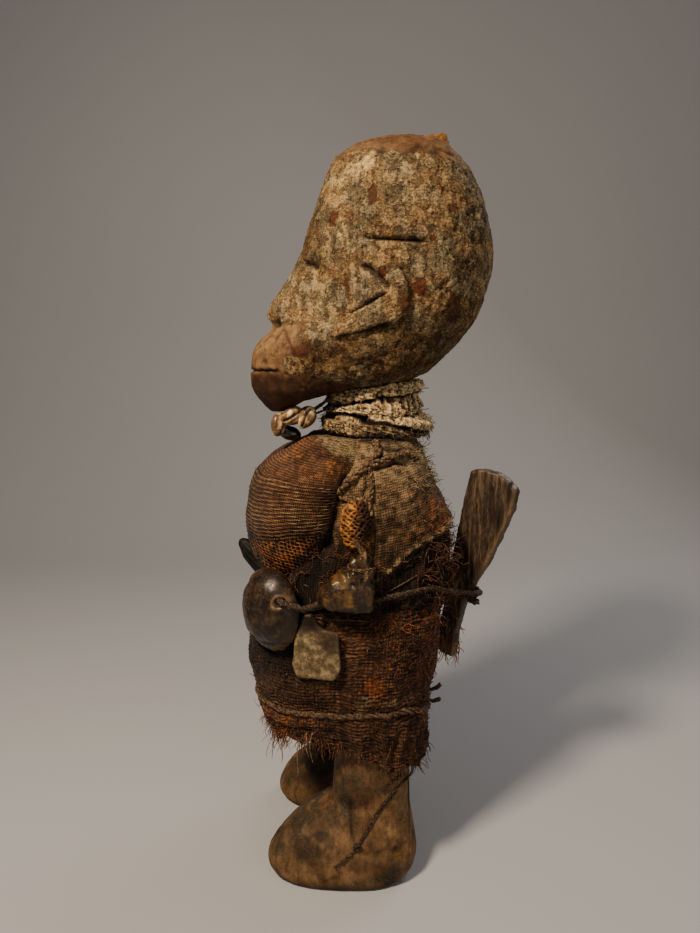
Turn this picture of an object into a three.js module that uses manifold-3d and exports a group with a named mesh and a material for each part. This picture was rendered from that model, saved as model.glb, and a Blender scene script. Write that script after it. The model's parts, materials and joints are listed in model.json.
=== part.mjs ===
// A vodun statuette: a carved wooden figure wrapped in woven cloth and hung with charms.
// Millimetres, +Z up. It faces -Y, its left side is +X, and it stands on z = 0.
// It is drawn about its own upright middle plane, x = 0, and moved to its origin at the end.
import * as THREE from "three";
import { mergeVertices } from "three/addons/utils/BufferGeometryUtils.js";
import Module from "manifold-3d";

const wasm = await Module();
wasm.setup();

// Driving dimensions
const HEIGHT = 520; // sole to the tip of the stub on the crown
const CROWN = 518; // height of the round top of the head
const HEAD_HALF = 60; // half width of the head at the ears
const TRUNK_HALF = 44; // half width of the wooden trunk inside the cloth
const LEG_APART = 43; // from the middle plane to the middle of each foot
const FOOT_HALF = 27.5;
const LEG_HALF = 21;
const WAIST_HALF = 60; // half width of the cloth at the waist
const SKIRT_HALF = 67;
const SKIRT_WALL = 6;
const CROTCH = 128; // height where the legs part
const BOX_MIDDLE = [5.2, 15.4]; // x and y of the middle of its box, where the origin goes
const GAP = 0.4; // air left between pieces that touch
const CORD_SIDES = 5;

// Solids and meshes

/** Turns a closed three.js geometry into a solid, with its faces turned outwards. */
function solid(geometry) {
  const bare = geometry.clone();
  bare.deleteAttribute("normal");
  bare.deleteAttribute("uv");
  const merged = mergeVertices(bare, 1e-4);
  const points = new Float32Array(merged.attributes.position.array);
  const faces = new Uint32Array(merged.index.array);
  const made = () =>
    new wasm.Manifold(new wasm.Mesh({ numProp: 3, vertProperties: points, triVerts: faces }));
  if (made().volume() < 0) {
    for (let i = 0; i < faces.length; i += 3) {
      [faces[i + 1], faces[i + 2]] = [faces[i + 2], faces[i + 1]];
    }
  }
  return made();
}

/** Turns a solid back into a geometry with flat faces. */
function geometryOf(body) {
  const mesh = body.getMesh();
  const points = new Float32Array(mesh.numVert * 3);
  for (let i = 0; i < mesh.numVert; i += 1) {
    points.set(mesh.vertProperties.subarray(i * mesh.numProp, i * mesh.numProp + 3), i * 3);
  }
  const geometry = new THREE.BufferGeometry()
    .setAttribute("position", new THREE.BufferAttribute(points, 3))
    .setIndex(new THREE.BufferAttribute(mesh.triVerts, 1));
  geometry.computeVertexNormals();
  return geometry;
}

/** Eases from 0 at one value to 1 at another. */
function ease(value, from, to) {
  const share = THREE.MathUtils.clamp((value - from) / (to - from), 0, 1);
  return share * share * (3 - 2 * share);
}

/** The level at a height between the given ones. */
function levelAt(levels, z) {
  const found = levels.findIndex((level) => level.z >= z);
  const top = found < 1 ? (found < 0 ? levels.length - 1 : 1) : found;
  const low = levels[top - 1];
  const high = levels[top];
  const share = THREE.MathUtils.clamp((z - low.z) / (high.z - low.z), 0, 1);
  const level = {};
  for (const key of Object.keys(low)) {
    level[key] = THREE.MathUtils.lerp(low[key], high[key], share);
  }
  return level;
}

/** A point of a level's outline: side and depth are the sine and cosine of its angle from the back. */
function outlinePoint(level, side, depth, grow = 0) {
  const power = depth > 0 ? level.backPower : level.frontPower;
  const reach = depth > 0 ? level.back + grow - level.widest : level.widest - level.front + grow;
  const x = level.x + Math.sign(side) * (level.half + grow) * Math.abs(side) ** (2 / power);
  const y = level.widest + Math.sign(depth) * reach * Math.abs(depth) ** (2 / power);
  return [x, y];
}

/**
 * An upright body through oval levels. A level has its height z, the places of its front and back
 * along Y, its half width, its middle x, where it is widest, and the powers of its front and back
 * curves: 2 is an ellipse, more is squarer, less is more pointed. The height of a point may
 * depend on its place, by the bend function.
 */
function ovalBody(levels, around, { grow = 0, bend = (x, y, z) => z } = {}) {
  const ends = [new THREE.Vector2(0, 0)];
  levels.forEach((level, i) => ends.push(new THREE.Vector2(1, i)));
  ends.push(new THREE.Vector2(0, levels.length - 1));
  const geometry = new THREE.LatheGeometry(ends, around);
  const place = geometry.attributes.position;
  const last = levels.length - 1;
  for (let i = 0; i < place.count; i += 1) {
    const index = Math.round(place.getY(i));
    const [x, y] = outlinePoint(levels[index], place.getX(i), place.getZ(i), grow);
    const swell = index === 0 ? -grow : index === last ? grow : 0;
    place.setXYZ(i, x, y, bend(x, y, levels[index].z) + swell);
  }
  return solid(geometry);
}

/** Levels from short rows: height, front, back, half width, widest place. */
function rows(list, { x = 0, frontPower = 2, backPower = 2 } = {}) {
  return list.map(([z, front, back, half, widest = (front + back) / 2, front2 = frontPower]) => ({
    z,
    front,
    back,
    half,
    widest,
    x,
    frontPower: front2,
    backPower,
  }));
}

// The carved figure

const headLevels = rows(
  [
    [333.6, -57, -46, 8, -51, 2],
    [336.5, -60, -41, 15, -48, 2],
    [341.5, -64.5, -32, 22, -42, 2.1],
    [349, -69.8, -6, 32, -22, 2.1],
    [355, -71, 40, 39, 6, 2.1],
    [362.2, -71.5, 56, 45, 18, 2.1],
    [363.4, -66.5, 57, 45.5, 19, 2.1],
    [364.6, -71.5, 58, 46, 20, 2.1],
    [375, -69.8, 69, 51, 24, 2.05],
    [382.8, -65.5, 76.5, 53.5, 26, 1.9],
    [389, -58.3, 81.5, 55.5, 27, 1.7],
    [394, -54.3, 85, 56.5, 28, 1.5],
    [397, -56.5, 87, 57, 29, 1.35],
    [401, -59.8, 89, 57.8, 30, 1.3],
    [409, -56.5, 92.5, 58.7, 30, 1.3],
    [419, -49.3, 95.5, 59.5, 31, 1.38],
    [430, -41.2, 97.8, HEAD_HALF, 32, 1.5],
    [446, -32.8, 98.3, HEAD_HALF, 33, 1.75],
    [463, -27.7, 95, 58.8, 34, 1.95],
    [479, -22, 90, 56, 35, 2],
    [493, -16.8, 83, 51, 36, 2],
    [504, -11.2, 74.5, 43, 36, 2],
    [511.5, -1, 67, 33, 36, 2],
    [516, 13, 59, 21, 37, 2],
    [CROWN, 28, 48, 9, 38, 2],
  ],
  { backPower: 2.1 },
);

const trunkLevels = rows(
  [
    [CROTCH, -30, 49, 52],
    [150, -36, 52, 53],
    [225, -36, 50, TRUNK_HALF],
    [290, -28, 47, TRUNK_HALF],
    [318, -13, 44, 33],
    [332, -9, 43, 28],
    [362, -8, 44, 28],
  ],
  { frontPower: 2.3, backPower: 2.3 },
);

/** One blocky leg with its foot; side is 1 on the figure's left and -1 on its right. */
function legLevels(side) {
  const list = rows(
    [
      [0, -49, 36, 25.5, 0],
      [2.5, -56, 41, FOOT_HALF, 0],
      [8, -60.2, 46, FOOT_HALF, 0],
      [14, -60.3, 48, FOOT_HALF, 0],
      [22, -56.2, 48.5, 27, 0],
      [33, -47.5, 46.6, 26, 2],
      [42.5, -36.5, 45.2, 24, 5],
      [50.5, -23, 44, 22.5, 9],
      [55, -13, 43.4, LEG_HALF, 14],
      [92, -10.5, 43, LEG_HALF, 16],
      [CROTCH + 12, -15, 46, LEG_HALF + 1, 16],
    ],
    { frontPower: 2.5 },
  );
  return list.map((level) => ({
    ...level,
    backPower: 3 - 0.6 * ease(level.z, 25, 90),
    x: side * (LEG_APART - 5 * ease(level.z, 25, 60) - 4 * ease(level.z, 90, 150)),
  }));
}

/** The head as a solid, made larger by grow on every side. */
function head(grow = 0) {
  return ovalBody(headLevels, 22, { grow });
}

/** Everything of the wood below the head, made larger by grow on every side. */
function lowerWood(grow = 0) {
  const trunk = ovalBody(trunkLevels, 12, { grow });
  const left = ovalBody(legLevels(1), 12, { grow });
  const right = ovalBody(legLevels(-1), 12, { grow });
  return trunk.add(left).add(right);
}

/** A slab through the head from side to side, of an outline drawn in the (y, z) plane. */
function slab(points, near, far) {
  const shape = new THREE.Shape(points.map(([y, z]) => new THREE.Vector2(y, z)));
  const geometry = new THREE.ExtrudeGeometry(shape, { depth: far - near, bevelEnabled: false });
  // the shape's x is the part's y, its y is z, and its depth runs along x
  geometry.applyMatrix4(new THREE.Matrix4().set(0, 0, 1, near, 1, 0, 0, 0, 0, 1, 0, 0, 0, 0, 0, 1));
  return solid(geometry);
}

/** A thin slab along a line of points, as wide as the groove that it cuts. */
function lineSlab(points, width, near, far) {
  const left = [];
  const right = [];
  points.forEach(([y, z], i) => {
    const [ay, az] = points[Math.max(i - 1, 0)];
    const [by, bz] = points[Math.min(i + 1, points.length - 1)];
    const length = Math.hypot(by - ay, bz - az);
    const end = i === 0 || i === points.length - 1 ? 0.25 : 1;
    const dy = (-(bz - az) / length) * (width / 2) * end;
    const dz = ((by - ay) / length) * (width / 2) * end;
    left.push([y + dy, z + dz]);
    right.push([y - dy, z - dz]);
  });
  return slab([...left, ...right.reverse()], near, far);
}

const EAR = [
  [-11, 384],
  [4, 384.5],
  [29, 395],
  [37, 403],
  [38, 414],
  [31, 429.5],
  [16, 438.5],
  [0, 439.5],
  [-3, 415],
];
const EAR_RISE = 3.4; // the ear stands this proud of the head
const EAR_FOLD = [
  [5, 431.5],
  [18, 421],
  [25, 414.5],
  [15, 409],
  [-3, 401],
];
const TEMPLE_CUT = [
  [6, 446],
  [45, 444.3],
];
// The carved lines of the head: their outline, their width and where their floor lies off the head
const CUTS = [
  { line: EAR_FOLD, width: 2.8, floor: 0.4 },
  { line: TEMPLE_CUT, width: 2.4, floor: -2.6 },
];

/** The head with the ears and the carved lines of both sides. */
function carvedHead() {
  const outer = head(EAR_RISE);
  const far = HEAD_HALF + 20;
  let made = head();
  for (const side of [1, -1]) {
    const between = (from, to) => (side > 0 ? [from, to] : [-to, -from]);
    made = made.add(slab(EAR, ...between(20, far)).intersect(outer));
    for (const { line, width, floor } of CUTS) {
      made = made.subtract(lineSlab(line, width, ...between(20, far)).subtract(head(floor)));
    }
  }
  return made;
}

/** The broken stub of wood on the crown, behind the middle. */
function crownStub() {
  return ovalBody(
    rows([
      [505, 49, 70, 13],
      [513, 51, 68, 11],
      [517, 53, 66, 8.5],
      [HEIGHT - 0.4, 55, 64.5, 5.5],
      [HEIGHT, 58, 62.5, 2],
    ]),
    9,
  );
}

// Cloth

const neckLevels = rows(
  [
    [317, -17, 54, 33],
    [320, -21.5, 58, 37.5],
    [327.5, -22, 58.5, 38],
    [331.5, -18.5, 52, 34],
    [337, -19.5, 53, 35],
    [342.5, -16, 49.5, 32],
    [347, -16, 52.5, 34],
    [352.5, -13.5, 51.5, 32.5],
  ],
  { frontPower: 2.2, backPower: 2.2 },
);

/** The wrap's top turn rises to the back, and its bottom turn falls to the back. */
function neckBend(x, y, z) {
  const share = ease(z, 318, 354);
  return z + (y - 17) * THREE.MathUtils.lerp(-0.05, 0.12, share);
}

const chestLevels = rows(
  [
    [194, -39, -31, 5],
    [201, -44.5, -24, 16],
    [210, -54.5, -14, 28],
    [220, -64, -6, 40],
    [230, -70.5, 0, 48],
    [243, -74, 5, 55],
    [262, -74.8, 9, 60],
    [279, -73, 12, 60],
    [290, -69.3, 16, 58.5],
    [299, -61.5, 22, 55],
    [308, -47, 28, 48.5],
    [317.5, -27, 30, 38],
  ],
  { frontPower: 2.3, backPower: 2 },
);

const backLevels = rows(
  [
    [212, -30, 66, 58],
    [234, -30, 71, 60],
    [255, -30, 72.5, 59.5],
    [267, -28, 70, 58],
    [281, -24, 62.5, 56.5],
    [296, -20, 56.5, 53.5],
    [308, -15, 51.5, 47.5],
    [317.5, -12, 44, 39],
  ],
  { frontPower: 2.4, backPower: 2.2 },
);

const waistLevels = rows(
  [
    [195, -56, 70, 59],
    [207, -58, 71.8, WAIST_HALF + 1],
    [225, -56, 72.4, WAIST_HALF],
    [243, -48, 72.4, 58],
    [256, -34, 68, 54],
  ],
  { frontPower: 2.4, backPower: 2.5 },
);

const skirtLevels = rows(
  [
    [100, -60, 57.5, 65],
    [110, -65, 58, 65.5],
    [121, -70, 59, SKIRT_HALF - 1],
    [134, -70.5, 60, SKIRT_HALF - 1.5],
    [147, -73.5, 62.5, SKIRT_HALF],
    [165, -75, 64.5, SKIRT_HALF + 1],
    [184, -73.5, 66, SKIRT_HALF - 1],
    [204, -64, 65, SKIRT_HALF - 5],
  ],
  { frontPower: 2.5, backPower: 3 },
);

const HEM = 100; // height of the loft's lowest level, before the hem's own shape

/** Height of the hem at a place round the figure: it arches at the front and dips at the back. */
function hemHeight(x, y) {
  const arch = 112 - 26 * ease(y, -35, 48) - 9 * ease(-y, 35, 66);
  const ragged = 1.6 * Math.sin(y * 0.31 + x * 0.05) + 1.2 * Math.sin(x * 0.23 - y * 0.11);
  return arch + ragged;
}

/** Moves the lowest levels of the skirt to its hem, and leaves the upper ones. */
function skirtBend(x, y, z) {
  const share = 1 - ease(z, HEM, 140);
  return z + share * (hemHeight(x, y) - HEM);
}

const SKIRT_TOP_INSIDE = 124; // above this height the cloth lies on the wood

/** The space inside the skirt, round the legs; it starts well below the hem. */
function skirtInside() {
  const inner = (level, z) => ({
    ...level,
    z,
    front: level.front + SKIRT_WALL,
    back: level.back - SKIRT_WALL,
    half: level.half - SKIRT_WALL,
  });
  const top = levelAt(skirtLevels, SKIRT_TOP_INSIDE);
  return ovalBody([inner(skirtLevels[0], 60), inner(top, SKIRT_TOP_INSIDE)], 14);
}

/** Everything above a plane that rises along Y: height at y = 0 and slope. */
function above(height, slope) {
  const far = 200;
  return slab(
    [
      [-far, height - far * slope],
      [far, height + far * slope],
      [far, 700],
      [-far, 700],
    ],
    -far,
    far,
  );
}

const BACK_EDGE_HEIGHT = 215;
const BACK_EDGE_SLOPE = 0.46;

// Charms and cords

/** A small lump: a sphere with its own three radii, turned and moved into place. */
function lump(radii, place, turn = [0, 0, 0], { grow = 0, sides = 12, rings = 8, shape = null } = {}) {
  const geometry = new THREE.SphereGeometry(1, sides, rings);
  const spot = geometry.attributes.position;
  const point = new THREE.Vector3();
  for (let i = 0; i < spot.count; i += 1) {
    point.fromBufferAttribute(spot, i);
    if (shape) {
      shape(point);
    }
    spot.setXYZ(
      i,
      point.x * (radii[0] + grow),
      point.y * (radii[1] + grow),
      point.z * (radii[2] + grow),
    );
  }
  geometry.applyMatrix4(
    new THREE.Matrix4().compose(
      new THREE.Vector3(...place),
      new THREE.Quaternion().setFromEuler(new THREE.Euler(...turn)),
      new THREE.Vector3(1, 1, 1),
    ),
  );
  return solid(geometry);
}

/** A round limb or cord along a curve, with a radius at each point and closed ends. */
function limb(points, radii, { sides = CORD_SIDES, steps = 12, grow = 0 } = {}) {
  const curve = new THREE.CatmullRomCurve3(points.map((p) => new THREE.Vector3(...p)));
  const frames = curve.computeFrenetFrames(steps, false);
  const ends = [new THREE.Vector2(0, 0)];
  for (let i = 0; i <= steps; i += 1) {
    ends.push(new THREE.Vector2(1, i));
  }
  ends.push(new THREE.Vector2(0, steps));
  const geometry = new THREE.LatheGeometry(ends, sides);
  const place = geometry.attributes.position;
  const spot = new THREE.Vector3();
  for (let i = 0; i < place.count; i += 1) {
    const index = Math.round(place.getY(i));
    const share = (index / steps) * (radii.length - 1);
    const low = Math.min(Math.floor(share), radii.length - 2);
    const radius = THREE.MathUtils.lerp(radii[low], radii[low + 1], share - low) + grow;
    const swell = index === 0 ? -grow : index === steps ? grow : 0;
    spot.copy(curve.getPointAt(index / steps));
    spot.addScaledVector(frames.normals[index], place.getX(i) * radius);
    spot.addScaledVector(frames.binormals[index], place.getZ(i) * radius);
    spot.addScaledVector(frames.tangents[index], swell);
    place.setXYZ(i, spot.x, spot.y, spot.z);
  }
  return solid(geometry);
}

/** A closed cord through a loop of points that lies nearly level. */
function loop(points, radius, { steps = 36, grow = 0 } = {}) {
  const curve = new THREE.CatmullRomCurve3(points.map((p) => new THREE.Vector3(...p)), true);
  const geometry = new THREE.TorusGeometry(2, 1, CORD_SIDES, steps);
  const place = geometry.attributes.position;
  const spot = new THREE.Vector3();
  const up = new THREE.Vector3(0, 0, 1);
  for (let i = 0; i < place.count; i += 1) {
    const angle = Math.atan2(place.getY(i), place.getX(i));
    const share = (angle / (2 * Math.PI) + 1) % 1;
    const outward = Math.hypot(place.getX(i), place.getY(i)) - 2;
    const across = new THREE.Vector3().crossVectors(curve.getTangentAt(share), up).normalize();
    spot.copy(curve.getPointAt(share));
    spot.addScaledVector(across, outward * (radius + grow));
    spot.addScaledVector(up, place.getZ(i) * (radius + grow));
    place.setXYZ(i, spot.x, spot.y, spot.z);
  }
  return solid(geometry);
}

/** The points of a body's outline at the height that heightAt gives for each. */
function outlineOf(levels, heightAt, lift, count = 32) {
  const points = [];
  for (let i = 0; i < count; i += 1) {
    const angle = (i / count) * 2 * Math.PI;
    const side = Math.sin(angle);
    const depth = Math.cos(angle);
    const [, y] = outlinePoint(levelAt(levels, heightAt(0)), side, depth);
    const z = heightAt(y);
    points.push([...outlinePoint(levelAt(levels, z), side, depth, lift), z]);
  }
  return points;
}

/** The shortest loop round a set of points, seen from above: the way that a tight cord takes. */
function tightLoop(points) {
  const sorted = [...points].sort((a, b) => a[0] - b[0] || a[1] - b[1]);
  const half = (list) => {
    const kept = [];
    for (const point of list) {
      while (kept.length > 1) {
        const [ax, ay] = kept.at(-2);
        const [bx, by] = kept.at(-1);
        if ((bx - ax) * (point[1] - ay) - (by - ay) * (point[0] - ax) > 0) {
          break;
        }
        kept.pop();
      }
      kept.push(point);
    }
    return kept.slice(0, -1);
  };
  return [...half(sorted), ...half(sorted.reverse())];
}

/** The x of a body's side at a place on it, on the side that is given. */
function sideOf(levels, y, z, side = 1) {
  const level = levelAt(levels, z);
  const behind = y > level.widest;
  const reach = behind ? level.back - level.widest : level.widest - level.front;
  const power = behind ? level.backPower : level.frontPower;
  const inside = 1 - Math.min(1, Math.abs((y - level.widest) / reach)) ** power;
  return level.x + side * level.half * inside ** (1 / power);
}

/** Points of a cord that lies on a side: y and z are given, x and the lift off it worked out. */
function onSide(xOf, list, lift) {
  const step = 1.5;
  return list.map(([y, z]) => {
    const x = xOf(y, z);
    const alongY = (xOf(y + step, z) - xOf(y - step, z)) / (2 * step);
    const alongZ = (xOf(y, z + step) - xOf(y, z - step)) / (2 * step);
    const outward = new THREE.Vector3(1, -alongY, -alongZ).normalize();
    const way = x < 0 ? -1 : 1;
    return [x, y, z].map((value, i) => value + way * lift * outward.getComponent(i));
  });
}

// The domed shell on the belly, with its toothed lower rim and the hole for its cord

const SHELL = { place: [51.5, -53, 204], radius: 28, across: 23, height: 19, faces: 0.75 };

/** Moves what is drawn round the +Z axis to the shell's place, facing out of the belly. */
function shellPlace(geometry) {
  const outward = new THREE.Vector3(Math.cos(SHELL.faces), -Math.sin(SHELL.faces), 0);
  const along = new THREE.Vector3(Math.sin(SHELL.faces), Math.cos(SHELL.faces), 0);
  const upward = new THREE.Vector3(0, 0, 1);
  const matrix = new THREE.Matrix4().makeBasis(along, upward, outward);
  geometry.applyMatrix4(matrix.setPosition(...SHELL.place));
  return geometry;
}

const SHELL_BASE = -5; // the dome's thick rim reaches this far back into the cloth
const TEETH = 7;
const TOOTH = [3.2, 5.5, 5];

/** An oval dome on a thick rim, larger than the shell by wider all round and deeper at both ends. */
function dome(wider, deeper) {
  const base = SHELL_BASE - deeper;
  const height = SHELL.height + deeper;
  const profile = [new THREE.Vector2(0, base), new THREE.Vector2(1, base)];
  const rounds = 4;
  for (let i = 0; i < rounds; i += 1) {
    const angle = (i / rounds) * (Math.PI / 2);
    profile.push(new THREE.Vector2(Math.cos(angle), Math.sin(angle) * height));
  }
  profile.push(new THREE.Vector2(0, height));
  const geometry = new THREE.LatheGeometry(profile, 14);
  const place = geometry.attributes.position;
  for (let i = 0; i < place.count; i += 1) {
    const across = place.getX(i) * (SHELL.across + wider);
    place.setXYZ(i, across, place.getZ(i) * (SHELL.radius + wider), place.getY(i));
  }
  return solid(shellPlace(geometry));
}

/** The dome with a row of short teeth under its lower edge. */
function shellBody() {
  let made = dome(0, 0);
  for (let i = 0; i < TEETH; i += 1) {
    const angle = THREE.MathUtils.lerp(-2.2, -0.95, i / (TEETH - 1));
    const tooth = new THREE.BoxGeometry(...TOOTH);
    tooth.rotateZ(angle + Math.PI / 2);
    tooth.translate(
      Math.cos(angle) * (SHELL.across + 0.6),
      Math.sin(angle) * (SHELL.radius + 0.6),
      2.2,
    );
    made = made.add(solid(shellPlace(tooth)));
  }
  return made;
}

/** The room that the shell takes in the cloth, with its teeth. */
function shellRoom() {
  return dome(TOOTH[1] / 2 + 3, GAP);
}

/** The shell with the hole and the tunnel that the belt goes through. */
function shell() {
  const hole = new THREE.CylinderGeometry(3, 3, 20, 8);
  hole.rotateX(Math.PI / 2);
  hole.translate(10, 3, 20);
  return shellBody().subtract(solid(shellPlace(hole))).subtract(belt(GAP));
}

// The pale plate that hangs from the belt

const PLATE_THICK = 3.4;
const PLATE_TURN = 0.17; // turned a little to the front, as the skirt is there

function plate(grow = 0) {
  const shape = new THREE.Shape();
  shape.moveTo(-13.5, -22);
  shape.quadraticCurveTo(-17, -19, -17.5, -13);
  shape.lineTo(-15.8, 5);
  shape.lineTo(-12, 15);
  shape.quadraticCurveTo(-11, 22.5, -6, 23);
  shape.quadraticCurveTo(-1.5, 22.5, -0.5, 17);
  shape.lineTo(2.5, 13);
  shape.lineTo(13.8, 10.5);
  shape.lineTo(15, -14);
  shape.quadraticCurveTo(13, -21.5, 9, -22.5);
  shape.closePath();
  const geometry = new THREE.ExtrudeGeometry(shape, {
    depth: PLATE_THICK - 1.4,
    bevelThickness: 0.7 + grow,
    bevelSize: grow,
    bevelOffset: 0,
    bevelSegments: 1,
    curveSegments: 3,
  });
  geometry.translate(0, 0, -PLATE_THICK / 2 + 0.7);
  const facing = new THREE.Vector3(Math.cos(PLATE_TURN), -Math.sin(PLATE_TURN), 0);
  const along = new THREE.Vector3(Math.sin(PLATE_TURN), Math.cos(PLATE_TURN), 0);
  const matrix = new THREE.Matrix4().makeBasis(along, new THREE.Vector3(0, 0, 1), facing);
  geometry.applyMatrix4(matrix.setPosition(SKIRT_HALF + 1.5, -21, 182.5));
  return solid(geometry);
}

// The long slat of wood tied upright behind the waist

const SLAT_THICK = 9.5;
const SLAT_TURN = 0.6; // its broad face looks between the front and the left side
const SLAT_AXIS = 88; // y of the line that it is turned about

function slat(grow = 0) {
  const widen = 1 / Math.cos(SLAT_TURN);
  const shape = new THREE.Shape();
  const right = [
    [81, 143],
    [83.5, 166],
    [87.5, 185],
    [93, 201],
    [101, 220],
    [109.5, 243],
    [116.5, 265],
    [118.5, 278],
  ];
  const left = [
    [90, 290.5],
    [86.3, 268],
    [82.6, 246],
    [79.5, 226],
    [76.8, 205],
    [74, 185],
    [72, 166],
    [71, 146],
  ];
  const move = ([y, z]) => new THREE.Vector2((y - SLAT_AXIS) * widen, z);
  const top = [
    [115, 285.5],
    [107, 290.5],
    [97, 292],
  ];
  shape.setFromPoints([...right, ...top, ...left].map(move));
  const bevel = 1.2;
  const geometry = new THREE.ExtrudeGeometry(shape, {
    depth: SLAT_THICK - 2 * bevel,
    bevelThickness: bevel + grow,
    bevelSize: grow + 0.01,
    bevelOffset: 0,
    bevelSegments: 1,
  });
  geometry.translate(0, 0, -SLAT_THICK / 2 + bevel);
  const facing = new THREE.Vector3(Math.cos(SLAT_TURN), -Math.sin(SLAT_TURN), 0);
  const along = new THREE.Vector3(Math.sin(SLAT_TURN), Math.cos(SLAT_TURN), 0);
  const matrix = new THREE.Matrix4().makeBasis(along, new THREE.Vector3(0, 0, 1), facing);
  geometry.applyMatrix4(matrix.setPosition(0, SLAT_AXIS, 0));
  return solid(geometry);
}

// The glossy tied pouch at the left hip and the netted lump above it

const POUCH_X = WAIST_HALF + 9.5;

const pouchLevels = rows(
  [
    [210, -14, 14.2, 7.5],
    [212, -19, 15.4, 10.5],
    [217, -22, 15.7, 12.3],
    [223, -20.5, 15.7, 12.3],
    [230.5, -13, 15.4, 10.5],
    [238, -3, 15, 8],
    [245.6, 1.4, 14.5, 5.6],
  ],
  { x: POUCH_X, frontPower: 2.2, backPower: 2.6 },
);

const pouch = (grow = 0) => ovalBody(pouchLevels, 14, { grow });

const netLevels = rows(
  [
    [246.5, 1, 11.5, 5],
    [251, -3, 13, 8],
    [259, -5.6, 13.4, 9.5],
    [268, -6.2, 13, 9.5],
    [275, -4, 11, 7.5],
    [279, 0, 7.5, 3.5],
  ],
  { x: WAIST_HALF - 1 },
);
const netLump = (grow = 0) => ovalBody(netLevels, 12, { grow });

// The dark horn that stands out from under the bundle in front

const hornPath = [
  [-31, -87.5, 229],
  [-30, -81, 223],
  [-27, -72, 214],
  [-22, -61, 206],
  [-16, -49, 201],
];
const horn = (grow = 0) =>
  limb(hornPath, [4.2, 7.6, 8.8, 9.6, 9.6], { sides: 10, steps: 7, grow });

// Cords

const BELT_RADIUS = 1.9;
const SLAT_BACK = 98.6; // the belt's place where it passes behind the slat

/** The belt falls to the front and to the knot behind. */
function beltHeight(y) {
  return 213 + 5 * ease(y, 0, 48) - 20 * ease(y, 48, 95) - 11 * ease(-y, 0, 60);
}

/** The belt goes round the waist and the top of the skirt and, behind, round the slat. */
function belt(grow = 0) {
  const lift = BELT_RADIUS + 0.6;
  const slatEdge = [-6, 2, 9].map((x) => [x, SLAT_BACK - 0.3 * Math.abs(x - 4), beltHeight(SLAT_BACK)]);
  const points = [
    ...outlineOf(waistLevels, beltHeight, lift + GAP),
    ...outlineOf(skirtLevels, beltHeight, lift + GAP),
    ...slatEdge,
  ];
  return loop(tightLoop(points), BELT_RADIUS, { steps: 36, grow });
}

/** The knot of the belt, wound over the slat's back edge. */
function beltKnot(grow = 0) {
  const low = lump([4.5, 4.2, 5.6], [9.5, 92.6, 194.5], [0.3, 0, 0.4], { grow, sides: 6, rings: 5 });
  return low.add(lump([4.2, 4.5, 4.3], [13.5, 89.2, 199.2], [0, 0.5, 0], { grow, sides: 6, rings: 5 }));
}

const HEM_CORD_RADIUS = 2.4;

/** The cord that draws the skirt in above its hem; it hangs lowest behind. */
function hemCord(grow = 0) {
  const height = (y) => 131.5 - 11 * ease(y, 40, 63) - 3 * ease(-y, 40, 72);
  const points = outlineOf(skirtLevels, height, HEM_CORD_RADIUS + 2 * GAP);
  return loop(tightLoop(points), HEM_CORD_RADIUS, { steps: 32, grow });
}

const STRAP_RADIUS = 2.3;

/** The twisted straps over the left shoulder: two meet, and go on to the gather and the side. */
function shoulderStraps(grow = 0) {
  const widest = (y, z) => Math.max(sideOf(chestLevels, y, z), sideOf(backLevels, y, z));
  const lay = (list, lift = STRAP_RADIUS + GAP) => onSide(widest, list, lift);
  const meeting = [12, 302.5];
  const down = lay([[15.5, 314.5], [17.5, 311.5], [14.5, 307], meeting, [2, 294], [-5, 287.5]]);
  const over = lay([[44, 305], [38, 308], [31, 308], [22, 305.5], meeting]);
  const along = lay([meeting, [14, 296], [14.5, 288.5], [13.5, 280.5]]);
  const gather = lay([[-5, 287.5], [-7, 284.5], [-2, 283.8], [4, 282.8]]);
  const set = { grow };
  return limb(down, [STRAP_RADIUS, STRAP_RADIUS], { ...set, steps: 9 })
    .add(limb(over, [1.6, STRAP_RADIUS], { ...set, steps: 6 }))
    .add(limb(along, [1.8, 1.2], { ...set, steps: 3 }))
    .add(limb(gather, [STRAP_RADIUS, 1.7], { ...set, steps: 4 }));
}

const STRING_RADIUS = 1.1;

/** The string on the left leg: from the instep up to a knot, round behind and down inside. */
function legString(grow = 0) {
  const levels = legLevels(1);
  const lift = STRING_RADIUS + 2 * GAP;
  const outer = (y, z) => sideOf(levels, y, z);
  const inner = (y, z) => sideOf(levels, y, z, -1);
  const outside = onSide(outer, [[-10.5, 20.5], [-2, 27.5], [5, 34.5], [19, 55], [32, 71]], lift);
  // on the inside the leg faces the other leg, so the lift goes the other way
  const inside = [[32, 72], [22, 66], [12, 60]].map(([y, z]) => [inner(y, z) - lift, y, z]);
  const behind = [[53, 40.5, 77], [45, 45, 78], [32, 45, 78], [22, 40.5, 76]];
  const path = [...outside, ...behind, ...inside];
  const knot = lump([1.8, 2.4, 2.4], path[2], [0, 0, 0], { grow, sides: 6, rings: 4 });
  return limb(path, [STRING_RADIUS, STRING_RADIUS], { steps: 14, grow }).add(knot);
}

// Cowrie shells and what hangs with them under the chin

const COWRIE = [4.8, 8.7, 6.5]; // half thickness, half length, half width

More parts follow.
